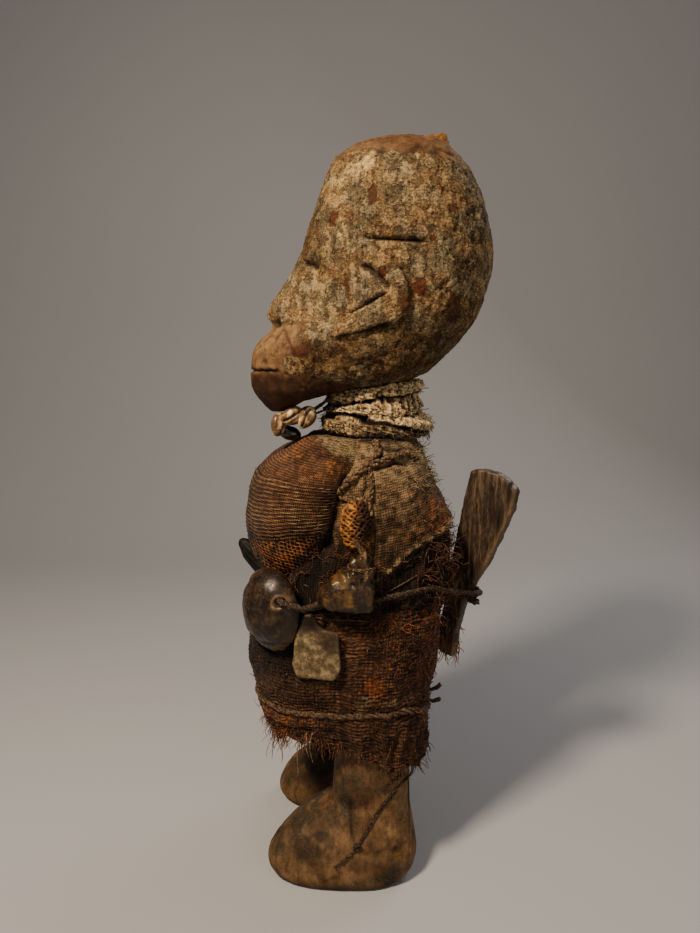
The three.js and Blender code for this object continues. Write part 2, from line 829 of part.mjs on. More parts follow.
/** A cowrie: an egg with a flatter mouth side, which has the long slot. */
function cowrie(place, tilt, turn, grow = 0) {
  const egg = (point) => {
    const full = point.y > 0 ? 1 : 0.86;
    point.z *= full;
    point.x *= point.x > 0 ? 0.72 : 1;
  };
  const made = lump(COWRIE, place, [tilt, 0, turn], { grow, sides: 8, rings: 6, shape: egg });
  if (grow > 0) {
    return made;
  }
  const slot = new THREE.BoxGeometry(3, COWRIE[1] * 1.7, 1);
  slot.translate(COWRIE[0] * 0.72, 0, 0);
  slot.applyMatrix4(
    new THREE.Matrix4().compose(
      new THREE.Vector3(...place),
      new THREE.Quaternion().setFromEuler(new THREE.Euler(tilt, 0, turn)),
      new THREE.Vector3(1, 1, 1),
    ),
  );
  return made.subtract(solid(slot));
}

const COWRIES = [
  { place: [13, -50.3, 325.2], tilt: 1.25, turn: 0.9 },
  { place: [16, -40.6, 331.4], tilt: 0.42, turn: 0.1 },
  { place: [16.5, -30.6, 330.4], tilt: 1.05, turn: -0.15 },
];

const pendant = (grow = 0) =>
  lump([6, 9, 5.2], [8, -43.5, 318.6], [-0.35, 0, 0], { grow, sides: 10, rings: 6 });

const neckCord = () =>
  limb(
    [
      [23, -13, 345],
      [17, -22, 338],
      [9, -34, 330.5],
      [5, -45, 326.5],
      [-4, -47, 326],
      [-12, -34, 330],
      [-19, -20, 338],
      [-24, -10, 345],
    ],
    [1.3, 1.3],
    { steps: 13 },
  );

const group = new THREE.Group();

/** Adds a solid to the figure as a named mesh. */
function part(name, body, color, roughness, metalness = 0) {
  const material = new THREE.MeshStandardMaterial({ color, roughness, metalness });
  const geometry = geometryOf(body).translate(-BOX_MIDDLE[0], -BOX_MIDDLE[1], 0);
  const mesh = new THREE.Mesh(geometry, material);
  mesh.name = name;
  group.add(mesh);
}

/** What is left of a body once the room for its neighbours is cut out of it. */
const clearOf = (body, ...rooms) => rooms.reduce((left, room) => left.subtract(room), body);

const figure = carvedHead().add(crownStub()).add(lowerWood());
const woodRoom = head(GAP).add(lowerWood(GAP));

const neckWrap = (grow = 0) => ovalBody(neckLevels, 14, { grow, bend: neckBend });
const chest = (grow = 0) => ovalBody(chestLevels, 20, { grow });
const back = (grow = 0) => ovalBody(backLevels, 16, { grow });
const waist = (grow = 0) => ovalBody(waistLevels, 16, { grow });
const skirt = (grow = 0) => ovalBody(skirtLevels, 22, { grow, bend: skirtBend });

const hipCharms = shellRoom().add(pouch(GAP)).add(plate(GAP)).add(horn(GAP));
const backRoom = back(GAP).intersect(above(BACK_EDGE_HEIGHT - GAP, BACK_EDGE_SLOPE));

const neckSolid = clearOf(neckWrap(), woodRoom);
const chestSolid = clearOf(chest(), woodRoom, neckWrap(GAP), netLump(GAP), hipCharms);
const backSolid = clearOf(
  back().intersect(above(BACK_EDGE_HEIGHT, BACK_EDGE_SLOPE)),
  woodRoom,
  neckWrap(GAP),
  chest(GAP),
  netLump(GAP),
  pouch(GAP),
);
const waistSolid = clearOf(waist(), woodRoom, chest(GAP), backRoom, netLump(GAP), hipCharms);
const skirtSolid = clearOf(skirt(), skirtInside(), woodRoom, waist(GAP), chest(GAP), hipCharms);

const clothRoom = skirt(GAP).add(waist(GAP)).add(chest(GAP)).add(backRoom);

part("carved_figure", figure, 0x6b4a2f, 0.85);
part("neck_wrap", neckSolid, 0xa89878, 0.95);
part("chest_bundle", chestSolid, 0x5a4026, 0.95);
part("back_bundle", backSolid, 0x5c4e3c, 0.95);
part("waist_wrap", waistSolid, 0x2e211a, 0.95);
part("skirt_wrap", skirtSolid, 0x4a3222, 0.95);
part("belly_shell", shell(), 0x4b3c2e, 0.4);
part("hip_pouch", pouch().subtract(belt(GAP)), 0x55462f, 0.35);
part("net_lump", netLump(), 0x8a5a26, 0.9);
part("hanging_plate", plate(), 0x9a8b72, 0.7);
part("dark_horn", horn().subtract(belt(GAP)), 0x1d1714, 0.45);
part("back_slat", slat(), 0x4d4026, 0.5);
part("belt_cord", belt().add(beltKnot().subtract(slat(GAP))), 0x2b2019, 0.9);
part("hem_cord", hemCord(), 0x6b5a44, 0.95);
part("shoulder_straps", shoulderStraps(), 0x6d5d49, 0.95);
part("leg_string", legString(), 0x3a281c, 0.9);
const cowrieRoom = COWRIES.map(({ place, tilt, turn }) => cowrie(place, tilt, turn, GAP));
COWRIES.forEach(({ place, tilt, turn }, i) => {
  const body = clearOf(cowrie(place, tilt, turn), woodRoom, clothRoom, neckWrap(GAP), ...cowrieRoom.slice(0, i));
  part(`cowrie_${i + 1}`, body, 0xcdbb95, 0.4);
});
part("black_pendant", clearOf(pendant(), clothRoom, ...cowrieRoom), 0x16120f, 0.4);
part(
  "cowrie_cord",
  clearOf(neckCord(), woodRoom, neckWrap(GAP), clothRoom, ...cowrieRoom, pendant(GAP)),
  0x2a2019,
  0.9,
);

export default group;
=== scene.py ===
"""Dresses a vodun statuette: crusted wood, sacking, cords and charms.

The figure is drawn in millimetres about its own upright middle plane, as it was carved, facing -Y with
its left side at +X. Points are moved to the frame and turned to metres when they are written to a mesh.
"""

import json
import logging
import math
from dataclasses import dataclass, field
from enum import Enum
from typing import Iterable, Optional, Sequence, Union

import bpy
import numpy as np
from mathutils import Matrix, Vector, noise

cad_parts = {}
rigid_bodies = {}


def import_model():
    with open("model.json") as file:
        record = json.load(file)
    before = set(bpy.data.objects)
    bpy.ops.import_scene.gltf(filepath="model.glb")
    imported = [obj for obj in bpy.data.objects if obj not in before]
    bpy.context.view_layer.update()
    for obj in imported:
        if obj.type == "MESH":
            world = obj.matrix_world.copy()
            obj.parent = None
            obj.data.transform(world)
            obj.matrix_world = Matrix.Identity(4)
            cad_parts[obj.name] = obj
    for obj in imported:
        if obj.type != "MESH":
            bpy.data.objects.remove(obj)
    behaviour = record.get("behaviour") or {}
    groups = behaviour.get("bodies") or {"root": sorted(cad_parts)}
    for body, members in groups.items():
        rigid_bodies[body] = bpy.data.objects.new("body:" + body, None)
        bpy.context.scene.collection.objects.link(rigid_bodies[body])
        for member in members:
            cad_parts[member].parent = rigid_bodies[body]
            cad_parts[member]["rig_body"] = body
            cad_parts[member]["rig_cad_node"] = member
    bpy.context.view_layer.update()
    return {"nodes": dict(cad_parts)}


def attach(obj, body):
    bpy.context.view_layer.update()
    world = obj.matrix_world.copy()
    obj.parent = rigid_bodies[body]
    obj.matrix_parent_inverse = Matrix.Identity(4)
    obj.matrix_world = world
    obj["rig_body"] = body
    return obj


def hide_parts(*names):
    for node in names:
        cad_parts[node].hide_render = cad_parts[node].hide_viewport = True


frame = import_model()

log = logging.getLogger("statuette")

Array = np.ndarray
Point = tuple[float, float, float]
Line = Sequence[tuple[float, float]]
Socket = bpy.types.NodeSocket
Value = Union[Socket, float, str, Sequence[float]]  # what an input of a material's node takes

MIDDLE = np.array([5.2, 15.4, 0.0])  # the frame's origin, seen from the figure's middle plane, in mm
BODY = "root"
WELD = 0.00002  # points of a CAD node closer than this are one, in metres
CHIN = 333  # height of the head's underside above the soles, in mm


def ease(value: Array, low: float, high: float) -> Array:
    """Goes smoothly from 0 at low to 1 at high."""
    share = np.clip((value - low) / (high - low), 0.0, 1.0)
    return share * share * (3 - 2 * share)


def clouds(points: Array, size: float, octaves: int = 3, seed: float = 0.0) -> Array:
    """Smooth noise of a size.

    Args:
        points: places in mm, one in each row.
        size: width of the largest features, in mm.
        octaves: how many times finer detail is added.
        seed: moves the pattern, so that two are unlike.

    Returns:
        About -1 to 1 for each point.
    """
    moved = (points / size + 17.3 * seed).tolist()
    return np.array([noise.fractal(place, 0.9, 2.0, octaves) for place in moved])


def bell(value: Array, width: float) -> Array:
    """A bell: 1 where the value is 0, and near 0 beyond twice the width."""
    return np.exp(-((value / width) ** 2))


def line_distance(across: Array, up: Array, line: Line) -> tuple[Array, Array]:
    """Distance of points from a line of points in a plane.

    Args:
        across: first coordinate of the points, in mm.
        up: second coordinate of the points, in mm.
        line: the points that the line joins.

    Returns:
        The distance in mm, and the share of the line's length at the nearest place.
    """
    nearest = np.full(len(across), 1e9)
    where = np.zeros(len(across))
    lengths = [math.dist(a, b) for a, b in zip(line, line[1:])]
    passed = 0.0
    for (ax, az), (bx, bz), length in zip(line, line[1:], lengths):
        share = ((across - ax) * (bx - ax) + (up - az) * (bz - az)) / length**2
        share = np.clip(share, 0.0, 1.0)
        distance = np.hypot(across - ax - share * (bx - ax), up - az - share * (bz - az))
        closer = distance < nearest
        nearest = np.where(closer, distance, nearest)
        where = np.where(closer, (passed + share * length) / sum(lengths), where)
        passed += length
    return nearest, where


def walked_along(line: Array) -> Array:
    """How far along a line of points each of them is."""
    return np.append(0, np.cumsum(np.linalg.norm(np.diff(line, axis=0), axis=1)))


def read_along(line: Array, places: Array, at: Array) -> Array:
    """The points of a line that has its own points at these places, read at others."""
    return np.stack([np.interp(at, places, line[:, i]) for i in range(3)], 1)


def inside_outline(across: Array, up: Array, outline: Line) -> Array:
    """Signed distance from a closed outline in a plane, positive inside it.

    Args:
        across: first coordinate of each point.
        up: second one.
        outline: the outline's corners.

    Returns:
        The distance of each point.
    """
    closed = [*outline, outline[0]]
    distance, _ = line_distance(across, up, closed)
    inside = np.zeros(len(across), bool)
    for (ax, az), (bx, bz) in zip(closed, closed[1:]):
        if az == bz:
            continue
        crosses = (az > up) != (bz > up)
        inside ^= crosses & (across < (bx - ax) * (up - az) / (bz - az) + ax)
    return np.where(inside, distance, -distance)


def groove(across: Array, up: Array, line: Line, width: float, taper: float = 0.2) -> Array:
    """How deep a groove along a line is: 1 on the line, 0 away from it and at its tapered ends.

    Args:
        across: first coordinate of each point.
        up: second one.
        line: the groove's places.
        width: how far it fades on each side.
        taper: share of its length that tapers off at each end.

    Returns:
        0 to 1 for each point.
    """
    distance, where = line_distance(across, up, line)
    ends = ease(where, 0.0, taper) * ease(1 - where, 0.0, taper)
    return np.exp(-((distance / width) ** 2)) * (0.25 + 0.75 * ends)


def blotch(
    points: Array, spot: tuple[float, float], size: tuple[float, float], seed: float, edge: float = 0.8
) -> Array:
    """A ragged oval patch on the figure's left side, 1 inside and 0 outside.

    Args:
        points: places in mm.
        spot: y and z of its middle.
        size: its half lengths along y and z.
        seed: what makes its edge differ from others.
        edge: share of its size where it starts to fade.

    Returns:
        0 to 1 for each point.
    """
    far = np.hypot((points[:, 1] - spot[0]) / size[0], (points[:, 2] - spot[1]) / size[1])
    near = (far < 2.2) & (points[:, 0] > 0)
    ragged = np.zeros(len(points))
    ragged[near] = clouds(points[near], max(size) * 0.7, 3, seed)
    return np.where(near, 1 - ease(far + 0.45 * ragged, edge, 1.95 - edge), 0.0)


def blotches(points: Array, table: Sequence[tuple], first_seed: int, edge: float) -> Array:
    """The strongest of many patches; the table gives each one's spot, size and strength.

    Args:
        points: places in mm.
        table: the patches.
        first_seed: the seed of the first one; each next one has the next seed.
        edge: share of their size where they start to fade.

    Returns:
        0 to 1 for each point.
    """
    strongest = np.zeros(len(points))
    for seed, (spot, size, strength) in enumerate(table, first_seed):
        strongest = np.maximum(strongest, strength * blotch(points, spot, size, seed, edge))
    return strongest


class Skin:
    """A mesh whose points are shaped by functions, in millimetres about the figure's middle plane."""

    def __init__(self, piece: bpy.types.Object) -> None:
        """Reads the points of a mesh object."""
        self.piece = piece
        self.points = self.read("co") * 1000 + MIDDLE

    def read(self, what: str) -> Array:
        """One vector of each vertex, such as co or normal."""
        values = np.empty(len(self.piece.data.vertices) * 3, np.float32)
        self.piece.data.vertices.foreach_get(what, values)
        return values.reshape(-1, 3).astype(float)

    def write(self) -> None:
        """Puts the points back in the mesh, in the frame and in metres."""
        placed = (self.points - MIDDLE) / 1000
        self.piece.data.vertices.foreach_set("co", placed.astype(np.float32).ravel())
        self.piece.data.update()

    def push(self, amount: Array) -> None:
        """Moves each point out along its normal by an amount in mm."""
        self.points = self.points + self.read("normal") * np.asarray(amount)[:, None]
        self.write()

    def clouds(self, size: float, octaves: int = 3, seed: float = 0.0) -> Array:
        """Smooth noise at the points."""
        return clouds(self.points, size, octaves, seed)

    def paint(self, name: str, values: Array) -> None:
        """Keeps a number from 0 to 1 at each point, for the material to read."""
        layer = self.piece.data.attributes.new(name, "FLOAT", "POINT")
        layer.data.foreach_set("value", np.clip(values, 0, 1).astype(np.float32))

    def lay_cloth(self, along: Array, up: Array, period: float) -> None:
        """Keeps each face corner's place on the flat cloth, in mm.

        Args:
            along: place of each point along the weft, which comes round after a period.
            up: place of each point along the warp.
            period: length of the weft once round.
        """
        mesh = self.piece.data
        corners = np.empty(len(mesh.loops), np.int32)
        mesh.loops.foreach_get("vertex_index", corners)
        starts = np.empty(len(mesh.polygons), np.int32)
        mesh.polygons.foreach_get("loop_start", starts)
        weft = along[corners]
        first = np.repeat(weft[starts], np.diff(np.append(starts, len(corners))))
        weft = weft - period * np.round((weft - first) / period)
        flat = np.stack([weft, up[corners], np.zeros(len(corners))], 1)
        layer = mesh.attributes.new("cloth", "FLOAT_VECTOR", "CORNER")
        layer.data.foreach_set("vector", flat.astype(np.float32).ravel())


def select_only(*pieces: bpy.types.Object) -> None:
    """Selects these objects and nothing else, and makes the first one active."""
    bpy.ops.object.select_all(action="DESELECT")
    for piece in pieces:
        piece.select_set(True)
    bpy.context.view_layer.objects.active = pieces[0]


def apply_modifier(piece: bpy.types.Object, kind: str, **settings: object) -> None:
    """Adds a modifier with its settings to a piece, and applies it."""
    select_only(piece)
    modifier = piece.modifiers.new(kind.title(), kind)
    for name, value in settings.items():
        setattr(modifier, name, value)
    bpy.ops.object.modifier_apply(modifier=modifier.name)


def ball(name: str, around: int, rings: int) -> tuple[Skin, Array, Array]:
    """Adds a ball whose rings are shaped later.

    Args:
        name: the piece's name.
        around: how many points each ring has.
        rings: how many steps there are from the top pole to the bottom one.

    Returns:
        The ball, each point's turn from the back, and its share of the way from top to bottom.
    """
    bpy.ops.object.select_all(action="DESELECT")
    bpy.ops.mesh.primitive_uv_sphere_add(segments=around, ring_count=rings, radius=1, calc_uvs=False)
    piece = bpy.context.object
    piece.name = piece.data.name = name
    skin = Skin(piece)
    place = skin.read("co")
    turn = np.arctan2(place[:, 0], place[:, 1])
    share = np.arccos(np.clip(place[:, 2], -1, 1)) / math.pi
    return skin, turn, share


def joined(name: str, skins: Sequence[Skin]) -> Skin:
    """Joins pieces into the first one and names it."""
    select_only(*[skin.piece for skin in skins])
    bpy.ops.object.join()
    piece = bpy.context.object
    piece.name = piece.data.name = name
    return Skin(piece)


def copy_of(node: str, voxel: float, smoothing: int) -> Skin:
    """Copies a CAD node as a closed, evenly meshed piece with softened edges.

    Args:
        node: the CAD node's name.
        voxel: size of its faces in mm.
        smoothing: how many times the points are evened out.

    Returns:
        The piece, named after the node.
    """
    piece = frame["nodes"][node].copy()
    piece.data = piece.data.copy()
    piece.name = piece.data.name = node + "_piece"
    piece.parent = None
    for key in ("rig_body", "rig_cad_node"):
        del piece[key]
    bpy.context.scene.collection.objects.link(piece)
    piece.data.materials.clear()
    apply_modifier(piece, "WELD", merge_threshold=WELD)
    apply_modifier(piece, "REMESH", mode="VOXEL", voxel_size=voxel / 1000)
    apply_modifier(piece, "SMOOTH", factor=0.5, iterations=smoothing)
    return Skin(piece)


def finished(
    skin: Skin, slot: str, material: bpy.types.Material, *nodes: str, fill: Optional[float] = None
) -> None:
    """Dresses a finished piece and lets it ride on the figure.

    Args:
        skin: the piece.
        slot: the record's material slot; not used.
        material: what it is dressed in.
        nodes: the CAD nodes that it stands for.
        fill: how tightly it is stuffed, where it is a bundle; not used.
    """
    piece = skin.piece
    piece.data.materials.clear()
    piece.data.materials.append(material)
    piece.data.polygons.foreach_set("use_smooth", [True] * len(piece.data.polygons))
    piece.data.update()
    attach(piece, BODY)
    if nodes:
        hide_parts(*nodes)
    log.info("%s: %d faces", piece.name, len(piece.data.polygons))


# Materials


def linear(code: str) -> tuple[float, float, float, float]:
    """Turns an sRGB hex colour into linear numbers."""
    shares = [int(code[i : i + 2], 16) / 255 for i in (1, 3, 5)]
    red, green, blue = (s / 12.92 if s <= 0.04045 else ((s + 0.055) / 1.055) ** 2.4 for s in shares)
    return red, green, blue, 1.0


class Recipe:
    """The nodes of one material, on a Principled surface."""

    def __init__(self, name: str, **surface: float) -> None:
        """Starts a material with plain values on its surface, such as Roughness."""
        self.material = bpy.data.materials.new(name)
        self.material.use_nodes = True
        self.tree = self.material.node_tree
        self.surface = self.tree.nodes["Principled BSDF"]
        for socket, value in surface.items():
            self.surface.inputs[socket.replace("_", " ")].default_value = value

    def add(self, kind: str, inputs: Optional[dict] = None, out: int | str = 0, **settings: Value) -> Socket:
        """Adds a node.

        Args:
            kind: its type, without ShaderNode.
            inputs: a value or another node's output for each input.
            out: which output is wanted.
            settings: its own settings; stops are the places and colours of a ramp.

        Returns:
            The output.
        """
        made = self.tree.nodes.new("ShaderNode" + kind)
        for stop, (place, color) in enumerate(settings.pop("stops", ())):
            elements = made.color_ramp.elements
            element = elements[stop] if stop < 2 else elements.new(1.0)
            element.position = place
            element.color = linear(color)
        for name, value in settings.items():
            setattr(made, name, value)
        for socket, value in (inputs or {}).items():
            if isinstance(value, bpy.types.NodeSocket):
                self.tree.links.new(value, made.inputs[socket])
            else:
                made.inputs[socket].default_value = value
        return made.outputs[out]

    def math(self, operation: str, *values: Value) -> Socket:
        """One sum of numbers or outputs; MULTIPLY_ADD is the first times the second, plus the third."""
        return self.add("Math", dict(enumerate(values)), operation=operation)

    def spread(self, value: Value, low: float, high: float, start: float = 0.0, end: float = 1.0) -> Socket:
        """Carries a value from the range low to high over to the range start to end, and no further."""
        ends = {"From Min": low, "From Max": high, "To Min": start, "To Max": end}
        return self.add("MapRange", {"Value": value, **ends})

    def between(self, share: Value, first: Value, second: Value) -> Socket:
        """A number on the way from the first to the second."""
        return self.add("Mix", {0: share, 2: first, 3: second}, out=0)

    def ramp(self, value: Value, stops: Iterable[tuple[float, str]]) -> Socket:
        """The colour at a value on a ramp of places and colours."""
        return self.add("ValToRGB", {0: value}, stops=stops)

    def painted(self, name: str) -> Socket:
        """The number that was painted on the points under a name."""
        return self.add("Attribute", attribute_name=name, out="Fac")

    def speckle(
        self, size: float, detail: float = 3.0, stretch: Point = (1, 1, 1), roughness: float = 0.6
    ) -> Socket:
        """Noise with features of a size in mm, stretched along the axes.

        Args:
            size: width of the features.
            detail: how many times finer noise is added.
            stretch: how much longer they are along each axis.
            roughness: how strong the finer noise is.

        Returns:
            The output.
        """
        place = self.add("TexCoord", out="Object")
        place = self.add("Mapping", {"Vector": place, "Scale": [1000 / size / s for s in stretch]})
        return self.add("TexNoise", {"Vector": place, "Scale": 1.0, "Detail": detail, "Roughness": roughness})

    def mixed(self, share: Value, first: Value, second: Value, blend: str = "MIX") -> Socket:
        """Mixes two colours, which are hex codes or outputs, by a share.

        Args:
            share: how much there is of the second colour.
            first: one colour.
            second: the other.
            blend: how they are mixed.

        Returns:
            The output.
        """
        ends = [linear(c) if isinstance(c, str) else c for c in (first, second)]
        inputs = {0: share, 6: ends[0], 7: ends[1]}
        return self.add("Mix", inputs, out=2, data_type="RGBA", blend_type=blend)

    def finish(
        self,
        color: Socket,
        height: Optional[Socket] = None,
        depth: float = 0.3,
        rough: Optional[Socket] = None,
    ) -> bpy.types.Material:
        """Links the colour, the height as bump of a depth in mm, and the roughness.

        Args:
            color: the output that colours the surface.
            height: the output that is raised where it is 1, if any.
            depth: how high that is, in mm.
            rough: the output that is its roughness, if it varies.

        Returns:
            The material.
        """
        self.tree.links.new(color, self.surface.inputs["Base Color"])
        if height is not None:
            bump = self.add("Bump", {"Height": height, "Distance": depth / 1000, "Strength": 1.0})
            self.tree.links.new(bump, self.surface.inputs["Normal"])
        if rough is not None:
            self.tree.links.new(rough, self.surface.inputs["Roughness"])
        return self.material


@dataclass(frozen=True)
class CrustedWood:
    """Old carved hardwood under layers of poured earth and chalk: dull, grainy, pale where it is thick."""

    grain: float = 1.3  # width of the crust's crumbs in mm, drawn a little coarse so that they show
    pit: str = "#251810"
    low: str = "#5e452c"
    crust: str = "#896b46"
    high: str = "#af9063"
    chalk: str = "#ccb07a"
    grey_low: str = "#4e4437"
    grey: str = "#786a50"
    grey_high: str = "#a08d69"
    wood_dark: str = "#4a3624"
    wood: str = "#775a3c"
    wood_light: str = "#9d7c53"
    red: str = "#35190b"
    moss: str = "#35352b"

    def material(self) -> bpy.types.Material:
        """Wood and earth, sorted by the numbers that are painted on the figure."""
        made = Recipe("crusted_hardwood", Roughness=0.85, Specular_IOR_Level=0.14)
        crumbs = made.speckle(self.grain, 5, roughness=0.8)
        strokes = made.speckle(1.0, 4, stretch=(2.4, 2.4, 1), roughness=0.75)
        patches = made.speckle(15, 3)
        spots = made.speckle(7, 3)
        streaks = made.speckle(4, 3, stretch=(1, 1, 9))
        fibre = made.speckle(1.3, 4, stretch=(1, 1, 14))
        tone = made.math("MULTIPLY_ADD", patches, 0.4, crumbs)
        tone = made.math("MULTIPLY_ADD", streaks, 0.35, tone)
        tone = made.math("MULTIPLY_ADD", strokes, 0.7, tone)
        tone = made.math("SUBTRACT", tone, 0.72)
        places = (0.24, 0.38, 0.5, 0.63, 0.78)
        browns = (self.pit, self.low, self.crust, self.high, self.chalk)
        greys = (self.pit, self.grey_low, self.grey, self.grey_high, self.chalk)
        crumb_color = made.ramp(tone, zip(places, browns))
        greyer = made.spread(made.speckle(19, 4), 0.42, 0.58)
        crumb_color = made.mixed(greyer, crumb_color, made.ramp(tone, zip(places, greys)))
        flakes = made.speckle(8, 5, roughness=0.62)
        layer = made.spread(flakes, 0.48, 0.52)
        lower = made.spread(flakes, 0.48, 0.52, 0.55, 0)
        crumb_color = made.mixed(lower, crumb_color, made.mixed(1.0, crumb_color, "#9a8c7c", "MULTIPLY"))
        brink = made.math("SUBTRACT", flakes, 0.485)
        brink = made.math("ABSOLUTE", brink)
        brink = made.spread(brink, 0, 0.022, 0.75, 0)
        crumb_color = made.mixed(brink, crumb_color, self.pit)
        chalky = made.math("MULTIPLY_ADD", crumbs, 1.3, made.painted("pale"))
        clumps = made.speckle(3.4, 4, roughness=0.75)
        chalky = made.math("MULTIPLY_ADD", clumps, 1.9, chalky)
        chalky = made.spread(chalky, 2.28, 2.7)
        crumb_color = made.mixed(chalky, crumb_color, "#d2b67c")
        stops = [(0.3, self.wood_dark), (0.5, self.wood), (0.72, self.wood_light)]
        figure = made.between(0.75, fibre, made.speckle(8, 6, stretch=(1, 1, 2), roughness=0.68))
        wood = made.ramp(figure, stops)
        stained = made.spread(spots, 0.45, 0.68, end=0.8)
        wood = made.mixed(stained, wood, made.mixed(0.75, wood, "#6a5a4c", "MULTIPLY"))
        scuffed = made.spread(crumbs, 0.56, 0.7, end=0.6)
        wood = made.mixed(scuffed, wood, self.wood_light)
        scarred = made.spread(strokes, 0.3, 0.42, 0.7, 0)
        wood = made.mixed(scarred, wood, self.pit)
        crumbled = made.spread(crumbs, 0.35, 0.65)
        wood = made.mixed(made.painted("red"), wood, made.mixed(crumbled, self.red, "#6f4022"))
        wood = made.mixed(made.painted("gold"), wood, made.mixed(crumbled, "#452a10", "#b07c3c"))
        growth = made.mixed(clumps, "#1f1a13", self.moss)
        growth = made.mixed(made.spread(crumbs, 0.5, 0.75), growth, "#77735c")
        wood = made.mixed(made.painted("moss"), wood, growth)
        amount = made.math("MULTIPLY", made.painted("crust"), 1.25)
        uneven = made.math("MULTIPLY", spots, 0.45)
        amount = made.math("SUBTRACT", amount, uneven)
        amount = made.math("MULTIPLY_ADD", crumbs, 0.6, amount)
        amount = made.math("MULTIPLY_ADD", clumps, 0.9, amount)
        amount = made.spread(amount, 1.02, 1.25)
        color = made.mixed(amount, wood, crumb_color)
        color = made.mixed(made.painted("shade"), color, made.mixed(1.0, color, "#7d6a5c", "MULTIPLY"))
        # dark holds painted shade in the cuts and pits, along with the wood's dark stains and the darker
        # soles
        color = made.mixed(made.painted("dark"), color, self.pit)
        height = made.math("MULTIPLY_ADD", layer, 0.5, tone)
        height = made.math("MULTIPLY_ADD", chalky, 0.3, height)
        height = made.math("MULTIPLY", height, amount)
        height = made.math("MULTIPLY_ADD", fibre, 0.15, height)
        height = made.math("MULTIPLY_ADD", strokes, 0.35, height)
        rough = made.spread(amount, 0, 1, 0.68, 0.95)
        return made.finish(color, height, 1.0, rough)


@dataclass(frozen=True)
class Sacking:
    """Coarse plant-fibre cloth, handwoven and stiff with earth: matt threads with painted shade in the gaps
    between.
    """

    name: str
    thread: str
    light: str
    # colour of the painted shade in the gaps between threads
    gap: str
    accent: str
    pitch: tuple[float, float] = (1.9, 1.9)  # spacing of the upright and the level threads, in mm
    rows: float = 0.5  # how much the level threads cover the upright ones
    fuzz: float = 0.5  # how much loose fibre hides the weave
    waver: float = 3.2  # how far the threads stray, in mm
    # colour of the dust, and of the painted highlights where a cloth paints them
    dust: str = "#8d7858"

    def material(self) -> bpy.types.Material:
        """Two sets of threads from the flat cloth's own place, broken up by wear, dust and stains, with
        painted light and shade from the cloth's relief.
        """
        made = Recipe(self.name, Roughness=0.92, Specular_IOR_Level=0.14, Sheen_Weight=0.04)
        flat = made.add("Attribute", attribute_name="cloth", out="Vector")
        stray = made.add("TexNoise", {"Vector": flat, "Scale": 0.2, "Detail": 4.0}, out="Color")
        stray = made.add("VectorMath", {0: stray, 1: (0.5, 0.5, 0.5)}, operation="SUBTRACT")
        stray = made.add("VectorMath", {0: stray, "Scale": self.waver}, operation="SCALE")
        flat = made.add("VectorMath", {0: flat, 1: stray}, operation="ADD")
        threads = []
        for direction, pitch in zip("XY", self.pitch):
            # a wave texture comes round every 2 pi / 20 of its scale
            inputs = {"Vector": flat, "Scale": 2 * math.pi / 20 / pitch, "Distortion": 0.8, "Detail": 2.0}
            threads.append(made.add("TexWave", inputs, out="Fac", bands_direction=direction))
        weave = made.between(self.rows, threads[0], threads[1])
        crossed = made.math("MULTIPLY", threads[0], threads[1])
        weave = made.between(0.4, weave, crossed)
        hairs = made.add("Mapping", {"Vector": flat, "Scale": (0.16, 1.15, 1.0)})
        hairs = made.add("TexNoise", {"Vector": hairs, "Scale": 1.0, "Detail": 3.0, "Roughness": 0.65})
        fibre = made.speckle(0.9, 3, roughness=0.7)
        fibre = made.between(0.5, fibre, hairs)
        loose = made.spread(fibre, 0.33, 0.67)
        worn = made.between(self.fuzz, weave, loose)
        # crest adds painted light on the raised parts and painted shade in the hollows, so from here worn
        # holds wear and painted light together
        worn = made.math("ADD", worn, made.painted("crest"))
        worn = made.spread(worn, 0.45, 1.5)
        color = made.ramp(worn, [(0.1, self.gap), (0.5, self.thread), (0.9, self.light)])
        stains = made.speckle(18, 4)
        patch_mask = made.spread(stains, 0.38, 0.62)
        color = made.mixed(patch_mask, made.mixed(0.75, color, "#7a6758", "MULTIPLY"), color)
        glow = made.math("ADD", made.painted("orange"), made.speckle(2.2, 4))
        glow = made.spread(glow, 0.66, 0.95)
        bright = made.spread(worn, 0.25, 0.75)
        glow = made.math("MULTIPLY", glow, bright)
        color = made.mixed(glow, color, self.accent)
        # pale dust, and painted highlights on the ribs and the rolled edges
        dust_and_highlight_mix = made.math("ADD", made.painted("dusty"), fibre)
        dust_and_highlight_mix = made.spread(dust_and_highlight_mix, 0.85, 1.3)
        dust_and_highlight_mix = made.math("MULTIPLY", dust_and_highlight_mix, bright)
        color = made.mixed(dust_and_highlight_mix, color, self.dust)
        # dark is mostly painted shade in folds, creases and holes
        color = made.mixed(made.painted("dark"), color, "#0f0906")
        height = made.between(0.4, weave, fibre)
        return made.finish(color, height, 0.9)


@dataclass(frozen=True)
class Fibre:
    """Twisted or loose plant fibre: fine strands along the cord, dull, darker in the lay."""

    name: str
    strand: str
    light: str
    dark: str
    shine: float = 0.85  # roughness; old handled fibre is a little smoother

    def material(self) -> bpy.types.Material:
        """Mottled strands."""
        made = Recipe(self.name, Roughness=self.shine, Specular_IOR_Level=0.3)
        specks = made.speckle(1.6, 4, roughness=0.7)
        stops = [(0.36, self.dark), (0.5, self.strand), (0.66, self.light)]
        color = made.ramp(specks, stops)
        return made.finish(color, made.speckle(0.7, 2), 0.25)


